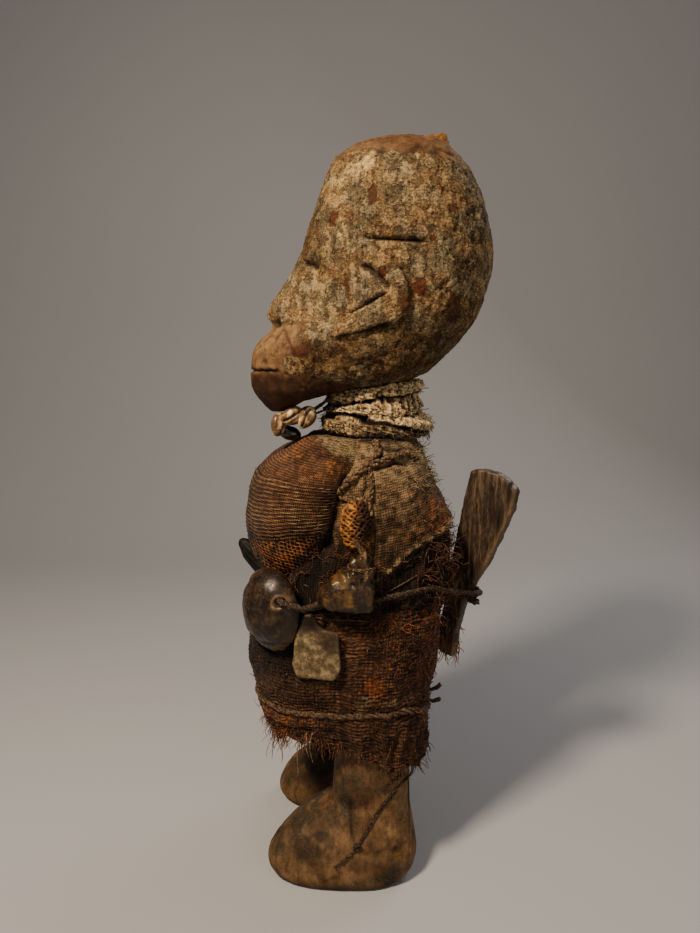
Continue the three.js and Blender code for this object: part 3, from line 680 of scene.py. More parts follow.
@dataclass(frozen=True)
class Glazed:
    """A hard natural skin with grease rubbed in, such as shell, horn, hide or seed: it shines unevenly."""

    name: str
    dark: str
    middle: str
    light: str
    size: float = 5.0  # width of the mottling in mm
    gloss: tuple[float, float] = (0.25, 0.5)
    coat: float = 0.0
    stretch: Point = (1, 1, 1)
    relief: float = 0.15
    patch: str = "#7a4a1c"  # what shows where patch is painted
    shine: float = 0.5  # how strongly it mirrors

    def material(self) -> bpy.types.Material:
        """Mottled colour with fine scratches and worn gloss."""
        made = Recipe(self.name, Coat_Weight=self.coat, Coat_Roughness=0.2, Specular_IOR_Level=self.shine)
        mottle = made.speckle(self.size, 5, stretch=self.stretch)
        fine = made.speckle(self.size / 5, 4, stretch=self.stretch, roughness=0.7)
        both = made.between(0.35, mottle, fine)
        stops = [(0.38, self.dark), (0.5, self.middle), (0.62, self.light)]
        color = made.ramp(both, stops)
        # patch holds stains and, on some charms, painted highlights; dark holds painted shade in holes, slits
        # and folds
        color = made.mixed(made.painted("patch"), color, self.patch)
        color = made.mixed(made.painted("dark"), color, "#0c0705")
        return made.finish(color, both, self.relief, made.spread(fine, 0.35, 0.65, *self.gloss))


# The carved figure


class Levels:
    """Oval sections of an upright body, one above another, read smoothly at any height."""

    def __init__(
        self,
        rows: Sequence[Sequence[float]],
        front_power: float = 2.0,
        back_power: float = 2.0,
        middle: float = 0.0,
        softness: int = 4,
    ) -> None:
        """Keeps the sections.

        Args:
            rows: height, front and back along Y, half width, and where wanted the widest place and
                the power of the front's curve: 2 is an ellipse and more is squarer.
            front_power: that power where a row gives none.
            back_power: the power of the back's curve.
            middle: x of the body's middle.
            softness: how far the profile is rounded off at a row, in mm.
        """
        filled = [[*row, (row[1] + row[2]) / 2][: max(len(row), 5)] for row in rows]
        filled = [[*row, front_power][:6] for row in filled]
        self.table = np.array(filled, float)
        self.back_power = back_power
        self.middle = middle
        self.softness = softness
        self.low, self.high = self.table[0, 0], self.table[-1, 0]

    def column(self, index: int, height: Array) -> Array:
        """One column of the rows at the given heights."""
        margin = 2 * self.softness
        fine = np.arange(self.low - margin, self.high + margin, 0.5)
        line = np.interp(fine, self.table[:, 0], self.table[:, index])
        if self.softness:
            reach = 2 * self.softness
            kernel = np.hanning(2 * reach + 3)[1:-1]
            padded = np.pad(line, reach, mode="edge")
            line = np.convolve(padded, kernel / kernel.sum(), "valid")
        return np.interp(height, fine, line)

    def outline(self, turn: Array, height: Array, inset: Array | float = 0.0) -> tuple[Array, Array]:
        """The x and y of places round the body.

        Args:
            turn: angle from the back, in radians.
            height: z in mm.
            inset: how far inside the outline, in mm.

        Returns:
            x and y.
        """
        front, back, half, widest, front_power = (self.column(i, height) for i in range(1, 6))
        side, depth = np.sin(turn), np.cos(turn)
        behind = depth > 0
        power = np.where(behind, self.back_power, front_power)
        reach = np.where(behind, back - widest, widest - front) - inset
        x = self.middle + np.sign(side) * (half - inset) * np.abs(side) ** (2 / power)
        y = widest + np.sign(depth) * reach * np.abs(depth) ** (2 / power)
        return x, y

    def body(self, name: str, around: int, rings: int, cap: float = 0.06) -> tuple[Skin, Array, Array]:
        """A closed body through the sections.

        Args:
            name: the piece's name.
            around: points of each ring.
            rings: steps from top to bottom.
            cap: share of the rings that close the top, and the same for the bottom.

        Returns:
            The body, each point's turn, and its share of the way down the wall.
        """
        skin, turn, share = ball(name, around, rings)
        down = np.clip((share - cap) / (1 - 2 * cap), 0, 1)
        height = self.high + (self.low - self.high) * down
        x, y = self.outline(turn, height)
        scale = np.clip(np.minimum(share, 1 - share) / cap, 0, 1)
        scale = np.sqrt(1 - (1 - scale) ** 2)
        centre = self.column(4, height)
        x = self.middle + (x - self.middle) * scale
        y = centre + (y - centre) * scale
        skin.points = np.stack([x, y, height], 1)
        skin.write()
        return skin, turn, down


HEAD_ROWS = [
    (333.6, -57, -46, 8, -51, 2), (336.5, -60, -41, 15, -48, 2), (341.5, -64.5, -32, 22, -42, 2.1),
    (349, -69.8, -6, 32, -22, 2.1), (355, -71, 40, 39, 6, 2.1), (363, -71.5, 56, 45, 18, 2.1),
    (375, -69.8, 69, 51, 24, 2.05), (382.8, -65.5, 76.5, 53.5, 26, 1.9),
    (389, -58.3, 81.5, 55.5, 27, 1.7), (394, -54.3, 85, 56.5, 28, 1.5), (397, -56.5, 87, 57, 29, 1.35),
    (401, -59.8, 89, 57.8, 30, 1.3), (409, -56.5, 92.5, 58.7, 30, 1.3),
    (419, -49.3, 95.5, 59.5, 31, 1.38), (430, -41.2, 97.8, 60, 32, 1.5), (446, -32.8, 98.3, 60, 33, 1.75),
    (463, -27.7, 95, 58.8, 34, 1.95), (479, -22, 90, 56, 35, 2), (493, -16.8, 83, 51, 36, 2),
    (504, -11.2, 74.5, 43, 36, 2), (511.5, -1, 67, 33, 36, 2), (516, 13, 59, 21, 37, 2),
    (518, 28, 48, 9, 38, 2),
]
TRUNK_ROWS = [
    (128, -30, 49, 52), (150, -36, 52, 53), (225, -36, 50, 44), (290, -28, 47, 44), (318, -13, 44, 33),
    (332, -9, 43, 28), (362, -8, 44, 28),
]
LEG_ROWS = [
    (0, -49, 36, 25.5, 0), (2.5, -56, 41, 27.5, 0), (8, -60.2, 46, 27.5, 0), (14, -60.3, 48, 27.5, 0),
    (22, -56.2, 48.5, 27, 0), (33, -47.5, 46.6, 26, 2), (42.5, -36.5, 45.2, 24, 5),
    (50.5, -23, 44, 22.5, 9), (55, -13, 43.4, 21, 14), (92, -10.5, 43, 21, 16), (140, -15, 46, 22, 16),
]
STUB_ROWS = [(505, 49.5, 69.5, 13), (513, 50.5, 68, 11.5), (518, 51.5, 67, 10), (520.5, 54, 65, 6)]
EAR = [(-11, 384), (4, 384.5), (29, 395), (37, 403), (38, 414)]
EAR += [(31, 429.5), (16, 438.5), (0, 439.5), (-3, 415)]


@dataclass
class CarvedFigure:
    """The figure itself: one piece of wood from the crown to the soles."""

    finish: CrustedWood = field(default_factory=CrustedWood)
    leg_apart: float = 43.0
    grain: float = 1.15  # size of its faces in mm
    kept: float = 0.42  # share of the faces that stay once it is carved, fewest where it is smooth
    ear_rise: float = 4.2
    # Grooves of the head's sides: y and z of their points, width, depth and how dark the painted shade in
    # them is
    cuts: tuple = (
        ([(4, 431), (14, 425), (21, 418), (25.5, 413)], 2.6, 4.4, 0.85),
        ([(25, 413.5), (16, 409), (6, 403.5), (-4, 399)], 1.2, 2.2, 1.0),
        ([(5, 446.5), (26, 444.5), (50, 443.3)], 1.4, 3.0, 1.0),
        ([(-12.6, 384.7), (7.6, 387.4), (28.3, 393.6)], 1.9, 3.2, 1.0),
        ([(8, 440), (20, 438), (31, 430), (37.5, 420), (37, 408)], 1.1, 1.3, 0.25),
        ([(-50, 394), (-44, 390), (-39.8, 380.5), (-34.6, 369.3)], 1.3, 1.4, 0.6),
        ([(-34, 436), (-25, 433), (-20, 429)], 1.7, 2.8, 0.95),
        ([(-13, 440), (-18, 425), (-19, 405), (-14, 392)], 2.2, 1.0, 0.15),
    )
    # Bare spots of red-brown wood on the left side: y and z, half lengths, and how bare they are
    bare: tuple = (
        ((43.3, 415.8), (5.2, 5), 1.0), ((34.5, 407), (3.6, 6), 0.75), ((67.2, 404), (4.4, 7.5), 1.0),
        ((13.6, 471.5), (3.2, 8), 0.6), ((63.5, 464.3), (2.6, 3), 0.9), ((-11, 460), (3.2, 5.5), 0.7),
        ((-2, 418), (2.6, 6), 0.6), ((51.2, 445.2), (2.4, 2.6), 0.9), ((-31, 376), (9, 5), 0.62),
        ((-10, 376), (9, 4), 0.58), ((-21, 371), (5, 4), 0.5), ((20, 425), (2.6, 4), 0.8),
        ((57, 386), (2.4, 3.4), 0.7), ((29, 451), (3, 1.6), 0.6),
    )
    # Grey-green and black stains on both legs: y and z, half lengths and how strong they are
    leg_stains: tuple = (
        ((-30, 43), (24, 17), 1.0), ((-52, 26), (9, 9), 0.8), ((27, 12), (12, 7), 1.0),
        ((-2, 66), (8, 19), 1.0), ((8, 76), (10, 8), 0.7), ((-3, 5), (20, 5), 0.7),
        ((38, 50), (5, 12), 0.5),
    )
    # Thick near-white crust on the left side, with how thick it is
    white: tuple = (
        ((7, 492), (13, 9), 1.0), ((-7, 483), (9, 8), 0.85), ((-5, 449), (8, 11), 0.75),
        ((-16, 440), (11, 6), 0.8), ((-17, 416), (6, 15), 0.75), ((-25, 402), (4, 10), 0.65),
        ((34, 460), (4, 12), 0.75), ((62, 430), (5, 24), 0.6), ((16, 434), (11, 4), 0.75),
        ((0, 392), (20, 4), 0.65), ((4, 362), (16, 6), 0.8), ((-3, 352), (8, 4), 0.95),
    )

    def build(self) -> Skin:
        """Shapes, carves and paints the wood."""
        parts = [Levels(HEAD_ROWS, back_power=2.1, softness=2).body("head", 200, 170, 0.02)[0]]
        parts.append(Levels(TRUNK_ROWS, 2.3, 2.3).body("trunk", 60, 40, 0.04)[0])
        parts.append(Levels(STUB_ROWS, softness=1).body("stub", 24, 14, 0.1)[0])
        parts += [self.leg(side) for side in (1, -1)]
        skin = joined("carved_wood", parts)
        apply_modifier(skin.piece, "REMESH", mode="VOXEL", voxel_size=self.grain / 1000)
        apply_modifier(skin.piece, "SMOOTH", factor=0.5, iterations=3)
        skin = Skin(skin.piece)
        dark = self.carve(skin)
        self.paint(skin, dark)
        apply_modifier(skin.piece, "DECIMATE", ratio=self.kept)
        skin = Skin(skin.piece)
        finished(skin, "figure_wood", self.finish.material(), "carved_figure")
        return skin

    def leg(self, side: int) -> Skin:
        """One blocky leg with its foot; side is 1 on the left and -1 on the right."""
        levels = Levels(LEG_ROWS, 2.5, 2.7, softness=3)
        skin, _, _ = levels.body("leg", 90, 90, 0.03)
        height = skin.points[:, 2]
        apart = self.leg_apart - 5 * ease(height, 25, 60) - 4 * ease(height, 90, 150)
        skin.points[:, 0] += side * apart
        skin.write()
        return skin

    def carve(self, skin: Skin) -> Array:
        """Raises the ears, cuts the grooves and roughens the wood.

        Args:
            skin: the figure.

        Returns:
            How dark each point is painted in the cuts, holes and pits: painted shade in the hollows.
        """
        x, y, z = skin.points.T
        on_side = ease(np.abs(x), 24, 34) * (z > 360)
        ear = ease(inside_outline(y, z, EAR), -1.0, 1.6) * on_side
        dark = np.zeros(len(x))
        skin.points[:, 0] += np.sign(x) * ear * self.ear_rise
        skin.write()
        depth = np.zeros(len(x))
        for line, width, deep, groove_shade in self.cuts:
            cut = groove(y, z, line, width) * (ease(np.abs(x), 12, 22) * (z > 360))
            depth = np.maximum(depth, cut * deep)
            # painted shade in each groove
            dark = np.maximum(dark, ease(cut, 0.35, 0.8) * groove_shade)
        mouth = bell(z - 362.9 - 0.3 * np.sin(y), 1.1) * (1 - ease(y, -54, -45))
        nostril = np.exp(-(((y + 50.5) / 2.6) ** 2) - ((z - 395) / 2.2) ** 2) * (np.abs(x) < 26)
        crack = groove(y, z, [(0, 64), (0.7, 47.2), (2.1, 37)], 1.1) * ease(x, 50, 56)
        fold = groove(y, z, [(-13.5, 58), (-11, 52), (-7, 45), (-1, 38)], 1.6) * (np.abs(x) > 30)
        hole = np.exp(-((np.hypot(y - 32.3, z - 29.9) / 1.6) ** 2)) * (x > 50)
        depth = np.maximum.reduce([depth, mouth * 2.6, nostril * 2.5, crack * 1.8, hole * 1.2, fold * 1.6])
        # painted shade in the mouth, the nostril, the crack and the hole
        dark = np.maximum.reduce([dark, ease(mouth, 0.3, 0.8), nostril, crack, hole])
        rough = 0.45 * skin.clouds(24, 3, 1) + 0.22 * skin.clouds(5, 3, 2)
        crumbly = 0.5 * ease(skin.clouds(9, 4, 9), -0.05, 0.12) + 0.4 * skin.clouds(3.4, 3, 6)
        rough += crumbly * ease(z, 336, 345) * ease(y, -52, -30)
        rough *= 1 - ease(z, 130, 150) * (1 - ease(z, 300, 315))
        on_stub = ease(z, 510, 514) * ease(y, 49, 52)
        rough += on_stub * (1.9 * skin.clouds(5, 3, 3))
        depth = np.maximum(depth, 1.6 * groove(y, z, [(49.5, 525), (49.8, 512)], 1.2))
        pits = ease(skin.clouds(6, 3, 4), 0.3, 0.45)
        skin.push(rough - depth - 0.7 * pits * (z > 360))
        skin.points[:, 2] = np.maximum(skin.points[:, 2], 0)
        skin.write()
        # painted shade in the pits as well
        return np.maximum(dark, 0.45 * pits * (z > 360))

    def paint(self, skin: Skin, dark: Array) -> None:
        """Says where the crust, the bare wood and the stains are.

        Args:
            skin: the figure.
            dark: how dark each point is painted in the cuts, holes and pits, as shade in the hollows.
        """
        points = skin.points
        x, y, z = points.T
        patches = clouds(points, 22, 3, 5)
        head = ease(z, 336, 345)
        muzzle = 1 - ease(y - 0.35 * (z - 360) + 4 * patches, -51, -31)
        muzzle *= 1 - ease(z, 388, 408)
        jaw = 1 - ease(z + 0.5 * np.clip(y + 15, 0, 40) + 6 * patches, 356, 366)
        cap = ease(z + 4 * patches - np.interp(y, [-10, 0, 31, 58], [504, 502.5, 496.5, 494.5]), -5, 5)
        behind = (1 - ease(z - 0.35 * y, 372, 392)) * ease(y, 25, 60)
        brow = (1 - ease(y + 0.2 * (z - 450) - 5 * patches, -24, -12)) * ease(z, 425, 440)
        bare = blotches(points, self.bare, 10, 0.45)
        bare_edge = 4 * bare * (1 - bare)
        far_side = (x < 5) & (z > 370)
        scattered = ease(clouds(points, 16, 2, 31), 0.42, 0.5)
        bare = np.where(far_side, scattered, bare)
        pale = blotches(points, self.white, 40, 0.2)
        pale = np.where(far_side, 0.85 * ease(clouds(points, 26, 4, 33), -0.05, 0.45), pale)
        crust = head * (1 - 0.76 * muzzle) * (1 - 0.82 * cap) * (1 - 0.72 * jaw) * (1 - bare)
        crust *= 1 - 0.3 * behind
        crust *= 1 - 0.3 * np.clip(brow, 0, 1)
        ragged = clouds(points, 7, 4, 77)
        stub = ease(z + 5 * ragged, 509, 514) * ease(y + 6 * ragged, 46, 50)
        crust = np.where(z < CHIN, 0.12 + 0.1 * patches, crust * (1 - stub))
        legs = np.stack([np.abs(x), y, z], 1)
        moss = blotches(legs, self.leg_stains, 60, 0.3) * (0.85 * ease(clouds(points, 7, 4, 7), -0.7, 0.15))
        # darker towards the soles
        darker_near_soles = (1 - ease(z, 0, 7)) * 0.6
        jaw_dark = jaw * (z > CHIN) * (0.2 + 0.6 * ease(clouds(points, 6, 5, 8), -0.2, 0.2))
        shade = ease(z, 112, 135) * (z < CHIN)
        skin.paint("crust", crust)
        skin.paint("pale", pale)
        flush = np.maximum(0.3 * muzzle * ease(patches, 0, 0.3), (0.6 + 0.5 * patches) * jaw * (z > CHIN))
        flush = np.maximum(flush, 0.4 * cap * ease(y + 6 * patches, 18, 32) * (1 - ease(y, 44, 50)))
        skin.paint("red", np.maximum(ease(bare, 0.1, 0.4), flush))
        ankle = blotch(points, (31, 81), (2.6, 7), 70, 0.4)
        heel = blotches(points, [((35, 26), (5, 3), 1.0), ((44, 60), (2, 16), 1.0)], 71, 0.4)
        skin.paint("gold", np.maximum.reduce([stub, 0.8 * ankle, 0.45 * heel]))
        skin.paint("moss", np.maximum(moss, 0.45 * behind * (z > CHIN)))
        sooty = 0.7 * blotch(legs, (-27, 38), (20, 14), 73, 0.1)
        sooty = sooty + 0.5 * blotch(legs, (-1, 64), (5, 15), 74, 0.2)
        sooty *= 0.6 + 0.8 * clouds(points, 5, 3, 76)
        sooty = np.maximum(sooty, 0.4 * blotch(legs, (30, 16), (8, 5), 75, 0.2))
        skin.paint("dark", np.maximum.reduce([dark, darker_near_soles, jaw_dark, shade * 0.9, 0.3 * bare_edge, sooty]))
        low_face = (1 - ease(z - 0.1 * y + 4 * patches, 376, 392)) * ease(y, -42, -30) * (z > CHIN)
        front = np.maximum(0.6 * np.clip(brow, 0, 1), 0.45 * cap)
        body = (z < CHIN) * (0.38 + 0.5 * patches)
        shades = [0.75 * jaw * (z > CHIN), 0.55 * low_face, front, body, 0.35 * behind]
        skin.paint("shade", np.maximum.reduce(shades))


# Cloth


NECK = Levels(
    [
        (317, -17, 54, 33), (320, -21.5, 58, 37.5), (327.5, -22, 58.5, 38), (331.5, -18.5, 52, 34),
        (337, -19.5, 53, 35), (342.5, -16, 49.5, 32), (347, -16, 52.5, 34), (352.5, -13.5, 51.5, 32.5),
    ],
    2.2, 2.2, softness=1,
)
CHEST = Levels(
    [
        (194, -39, -31, 5), (201, -44.5, -24, 16), (210, -54.5, -14, 28), (220, -64, -6, 40),
        (230, -70.5, 0, 48), (243, -74, 5, 55), (262, -74.8, 9, 60), (279, -73, 12, 60),
        (290, -69.3, 16, 58.5), (299, -61.5, 22, 55), (308, -47, 28, 48.5), (317.5, -27, 30, 38),
    ],
    2.3,
)
BACK = Levels(
    [
        (212, -30, 66, 58), (234, -30, 71, 60), (255, -30, 72.5, 59.5), (267, -28, 70, 58),
        (281, -24, 62.5, 56.5), (296, -20, 56.5, 53.5), (308, -15, 51.5, 47.5), (317.5, -12, 44, 39),
    ],
    2.4, 2.2, softness=3,
)
WAIST = Levels(
    [
        (195, -56, 70, 59), (207, -58, 71.8, 61), (225, -56, 72.4, 60), (243, -48, 72.4, 58),
        (256, -34, 68, 54),
    ],
    2.4, 2.5, softness=3,
)
SKIRT = Levels(
    [
        (100, -60, 57.5, 65), (110, -65, 58, 65.5), (121, -70, 59, 66), (134, -70.5, 60, 65.5),
        (147, -73.5, 62.5, 67), (165, -75, 64.5, 68), (184, -73.5, 66, 66), (204, -64, 65, 62),
    ],
    2.5, 3,
)

CRUSTED = Sacking(
    "crusted_neck_cloth", thread="#7a6243", light="#cdb387", gap="#24180e", accent="#8a5a2c",
    pitch=(2.2, 1.6), rows=0.4, fuzz=0.85, waver=6, dust="#cdb284",
)
CORDED = Sacking(
    "corded_chest_cloth", thread="#44291a", light="#866443", gap="#180c06", accent="#a9662b",
    pitch=(1.5, 1.5), rows=0.5, fuzz=0.4, waver=1.6, dust="#a08c63",
)
SACKING = Sacking(
    "back_sacking", thread="#4f3a26", light="#8d7250", gap="#190e07", accent="#9a5a28", pitch=(1.7, 1.7),
    rows=0.5, fuzz=0.6, waver=3.0, dust="#917c59",
)
SMOKED = Sacking(
    "smoked_waist_cloth", thread="#22150d", light="#4b3828", gap="#0a0503", accent="#7a4520",
    pitch=(2.2, 1.6), rows=0.4, fuzz=0.6, waver=3.0,
)
STAINED = Sacking(
    "hip_sacking", thread="#3c2617", light="#73543b", gap="#120905", accent="#8c4c20", pitch=(2.2, 2.4),
    rows=0.7, fuzz=0.62, waver=6.0, dust="#7a6347",
)


@dataclass
class Cloth:
    """A length of cloth wound round the figure, with its own relief."""

    name: str
    slot: str
    levels: Levels
    finish: Sacking
    around: int
    rings: int
    fill: float
    girth: float = 420.0  # length of the cloth once round, in mm

    def relief(self, skin: Skin, turn: Array, down: Array) -> None:
        """Shapes and paints the cloth; each cloth has its own way.

        Args:
            skin: the cloth.
            turn: each point's angle from the back, in radians.
            down: each point's share of the way from the top edge to the bottom one.
        """
        raise NotImplementedError

    def blank(self, skin: Skin, crest: Array, **painted: Array) -> None:
        """Paints what the finish reads.

        Args:
            skin: the cloth.
            crest: how much each point stands out, about 0; the finish paints it as light on the raised parts
                and shade in the hollows.
            painted: the orange, dusty and dark numbers, each 0 where it isn't given; dark is mostly painted
                shade.
        """
        skin.paint("crest", 0.5 + crest)
        for name in ("orange", "dusty", "dark"):
            skin.paint(name, painted.get(name, np.zeros(len(skin.points))))

    def build(self) -> Skin:
        """Winds the cloth and dresses it."""
        skin, turn, down = self.levels.body(self.name + "_cloth", self.around, self.rings)
        self.relief(skin, turn, down)
        finished(skin, self.slot, self.finish.material(), self.name, fill=self.fill)
        return skin


class NeckWrap(Cloth):
    """Thick turns of cloth round the neck that cross on the left, stiff with pale crust."""

    # y and z of the folds' lines: the edge of the upper turn, the edge of the lower one,
    # and where that one starts
    upper_edge: tuple = ((-20, 338.5), (12, 343.3), (45, 348), (60, 350))
    lower_edge: tuple = ((-20, 334), (-4, 334.5), (14.5, 331.5), (45, 323.6), (60, 321))
    lower_top: tuple = ((-20, 342), (12, 341.5), (49, 335.5), (60, 334))

    def relief(self, skin: Skin, turn: Array, down: Array) -> None:
        """Tilts the turns, lumps them and paints shade in the folds between them."""
        _, y, z = skin.points.T
        share = ease(z, 318, 354)
        skin.points[:, 2] = z + (y - 17) * (-0.05 + 0.17 * share)
        skin.write()
        z = skin.points[:, 2] + 1.3 * skin.clouds(14, 3, 50)
        lines = (self.upper_edge, self.lower_edge, self.lower_top)
        upper, lower, top = (z - np.interp(y, *zip(*line)) for line in lines)
        wedge = ease(-upper, -0.6, 0.6) * ease(top, -1.5, 1.5)
        below = ease(-lower, -0.6, 0.6)
        folds = np.maximum(1.4 * bell(upper + 0.5, 1.2), 1.8 * bell(lower + 0.8, 1.6))
        pleats = np.sin(turn * 34 + 3 * skin.clouds(9, 2, 54)) * wedge
        crumbs = skin.clouds(2.6, 3, 52)
        strands = np.sin((z + 0.3 * y) * 2.6 + 4 * skin.clouds(12, 3, 55)) * (1 - wedge)
        lumps = 1.6 * skin.clouds(8, 3, 51) + 1.1 * crumbs
        rolled = bell(lower - 4, 3.0) * ease(y, 15, 40)
        skin.push(lumps + 0.7 * pleats + 0.25 * strands + 1.2 * rolled - folds - 1.1 * wedge - 1.3 * below)
        deep = ease(folds, 0.4, 1.3)
        front = 1 - ease(y, -20, -4)
        # painted shade in the folds, in the hollows between lumps, in the wedge and below the lower turn,
        # with less dust there
        self.blank(
            skin,
            0.5 * crumbs + 0.08 * strands + 0.1 * pleats - 0.2 * deep,
            dusty=0.8
            + 0.6 * skin.clouds(6, 3, 53)
            + 0.3 * bell(upper - 4, 3.0)
            + 0.25 * rolled
            - 0.5 * deep
            - 0.2 * front
            - 0.35 * wedge * (0.6 - pleats)
            - 0.45 * below,
            dark=0.85 * deep
            + 0.4 * ease(-lumps, 1.0, 2.0)
            + 0.25 * wedge * (0.5 - 0.5 * pleats)
            + 0.5 * below * ease(y, 0, 25),
        )
        skin.lay_cloth(turn / math.tau * 240, z, 240)


class ChestBundle(Cloth):
    """The stuffed bundle in front: fine cloth above, ribs round its middle and an open grid below."""

    ribs: int = 16
    mesh: float = 2.7  # size of the open grid in mm

    def relief(self, skin: Skin, turn: Array, down: Array) -> None:
        """Draws the ribs in to the gather on each side, and dents the cloth there; paints highlights on the
        ribs and shade between them, in the folds, in the grid's holes and along the front edge.
        """
        x, y, z = skin.points.T
        depth = np.clip(y, -75, 0)
        top = 295 - 0.0016 * (depth + 75) ** 2
        bottom = 250 + 0.12 * (depth + 75)
        wander = 1.0 * skin.clouds(26, 2, 60)
        place = (z - bottom + wander) / (top - bottom)
        in_ribs = ease(place, -0.3, 0.06) * (1 - ease(place, 0.95, 1.03)) * (1 - ease(y, -12, 2))
        rib = 0.5 + 0.5 * np.cos(math.tau * self.ribs * place)
        below = 1 - ease(place, -0.12, 0.1)
        stray = wander + 0.8 * skin.clouds(7, 3, 66)
        grid_up = np.abs(np.sin(math.pi * (z + 0.3 * y + stray) / self.mesh))
        grid_across = np.abs(np.sin((y + 0.2 * z + stray) * math.pi / self.mesh))
        holes = ease(np.minimum(grid_up, grid_across), 0.35, 0.8)
        fold = groove(y, z, [(-4, 296), (-1, 284), (-6, 270), (-12, 250), (-26, 222)], 5.0) * (np.abs(x) > 15)
        tuck = groove(y, z, [(-30, 243), (-16, 252), (-6, 262)], 2.0) * (np.abs(x) > 15)
        sag = 1.4 * skin.clouds(38, 2, 62) + 0.7 * skin.clouds(12, 3, 63)
        knots = skin.clouds(3.4, 3, 61)
        ribbed = in_ribs * (0.85 * rib - 0.3)
        skin.push(sag + ribbed - 0.8 * below * holes + 0.2 * knots - 2.6 * fold - 1.0 * tuck)
        upper = ease(place, 0.96, 1.15)
        slope = z + 0.62 * y + 5 * skin.clouds(11, 3, 65)
        burlap = ease(slope, 297, 307) * (place > 0.9) * (x > 0) * ease(y, -45, -30)
        worn = ease(skin.clouds(20, 3, 64), -0.3, 0.35)
        lattice = below * ease(0.52 * (z - 253.5) - 14 - y + 3 * wander, -3, 4) * ease(z, 196, 203)
        rich = 0.5 + 0.5 * ease(-place, 0, 0.4)
        dim = ease(skin.clouds(13, 3, 67), -0.35, 0.3)
        self.blank(
            skin,
            # painted highlights on the ribs and painted shade in the grid's holes
            in_ribs * (0.6 * rib**2 - 0.2) + lattice * (0.3 - 0.7 * holes) + 0.2 * knots + 0.06,
            orange=0.24 * upper * (1 - burlap) * worn
            + (0.1 + 0.42 * dim * rich) * lattice * (1 - holes)
            + 0.06 * in_ribs * (1 - worn),
            # dust, and painted highlights on the rib crests
            dusty=in_ribs * rib**2 * (0.3 + 0.4 * worn) * ease(z, 248, 260) + 0.5 * burlap + 0.12 * upper,
            # painted shade in the fold, the tuck, between the ribs and in the holes
            dark=0.85 * fold
            + 0.5 * tuck
            + in_ribs * 0.16 * (1 - rib) ** 1.5
            + 0.6 * below * holes * lattice
            + 0.3 * lattice * (1 - dim * rich)
            + 0.92 * below * (1 - lattice)
            # painted shade along the bundle's front edge
            + 0.55 * (1 - ease(y, -80, -50)) * (1 - ease(z, 285, 312)),
        )
        skin.lay_cloth(turn / math.tau * self.girth, z + 0.16 * y, self.girth)


class BackBundle(Cloth):
    """Grey-brown sacking over the back and the left side, with a rolled lower edge that rises behind."""

    edge_height: float = 215.0
    edge_slope: float = 0.46
    # The rolled edge: y and z of the line that it follows; dark cloth shows below it
    roll: tuple[tuple[float, float], ...] = ((-20, 209), (16, 225.5), (41, 247), (68, 257.5))

    def relief(self, skin: Skin, turn: Array, down: Array) -> None:
        """Lifts the lower edge, folds the cloth and fluffs it; paints light higher up and on the rolled edge,
        and shade in the creases, the hollow and lower down.
        """
        x, y, z = skin.points.T
        edge = self.edge_height + self.edge_slope * y
        rolled = np.interp(y, *zip(*self.roll))
        share = (z - self.levels.low) / (self.levels.high - self.levels.low)
        raised = np.maximum(edge, self.levels.low)
        z = raised + share * (self.levels.high - raised)
        new_x, new_y = self.levels.outline(turn, z)
        moved = (down > 0) & (down < 1)
        skin.points = np.stack([np.where(moved, new_x, x), np.where(moved, new_y, y), z], 1)
        skin.write()
        wander = 1.5 * skin.clouds(20, 3, 76)
        roll = bell(z - rolled + wander, 2.2) * ease(y, -8, 10)
        under = (1 - ease(z - rolled + wander, -3.5, -1.5)) * ease(y, -8, 10)
        crease = groove(y, z + 0.5 * wander, [(44, 300), (31, 303), (22, 300.5), (12, 298)], 1.5)
        pull = groove(y + wander, z, [(14.5, 296), (16, 286), (14.5, 268), (16, 240)], 2.4)
        neck_fold = groove(y, z, [(18, 314), (26, 311), (40, 312)], 1.8)
        hollow = blotch(skin.points, (30, 268), (16, 12), 77)
        sag = 1.7 * skin.clouds(34, 3, 70) + 0.9 * skin.clouds(10, 3, 71)
        fluff = 0.55 * skin.clouds(2.4, 3, 72)
        raised = sag + fluff + 2.0 * roll - 1.0 * under
        skin.push(raised - 1.8 * crease - 0.9 * pull - 1.2 * neck_fold - 0.8 * hollow)
        back_edge = ease(y, 50, 66) * bell(z - 258, 14)
        low = 1 - ease(z - edge, 6, 30)
        reddish = blotch(skin.points, (52, 272), (11, 12), 78)
        self.blank(
            skin,
            # lighter higher up and darker near the lower edge: painted light and shade
            0.45 * skin.clouds(5, 3, 73) + 0.15 * ease(z, 240, 300) - 0.1 * low,
            orange=0.8 * back_edge * ease(x + 6 * wander, 0, 25)
            + 0.2 * reddish
            + 0.14 * ease(skin.clouds(16, 2, 74), 0.1, 0.4),
            # dust, paler higher up, and painted highlight on the rolled edge
            dusty=0.42 * ease(z, 245, 300) + 0.55 * roll + 0.22 * skin.clouds(12, 3, 75) + 0.1,
            # painted shade in the creases, the hollow, near the lower edge and at the top under the neck
            # cloth
            dark=0.9 * ease(crease + pull * 0.6 + neck_fold, 0.4, 1.0)
            + 0.62 * under
            + 0.2 * low * (1 - roll)
            + 0.4 * reddish
            + 0.9 * ease(z, 314, 317)
            + 0.25 * hollow,
        )
        skin.lay_cloth(turn / math.tau * self.girth, z - 0.2 * y, self.girth)


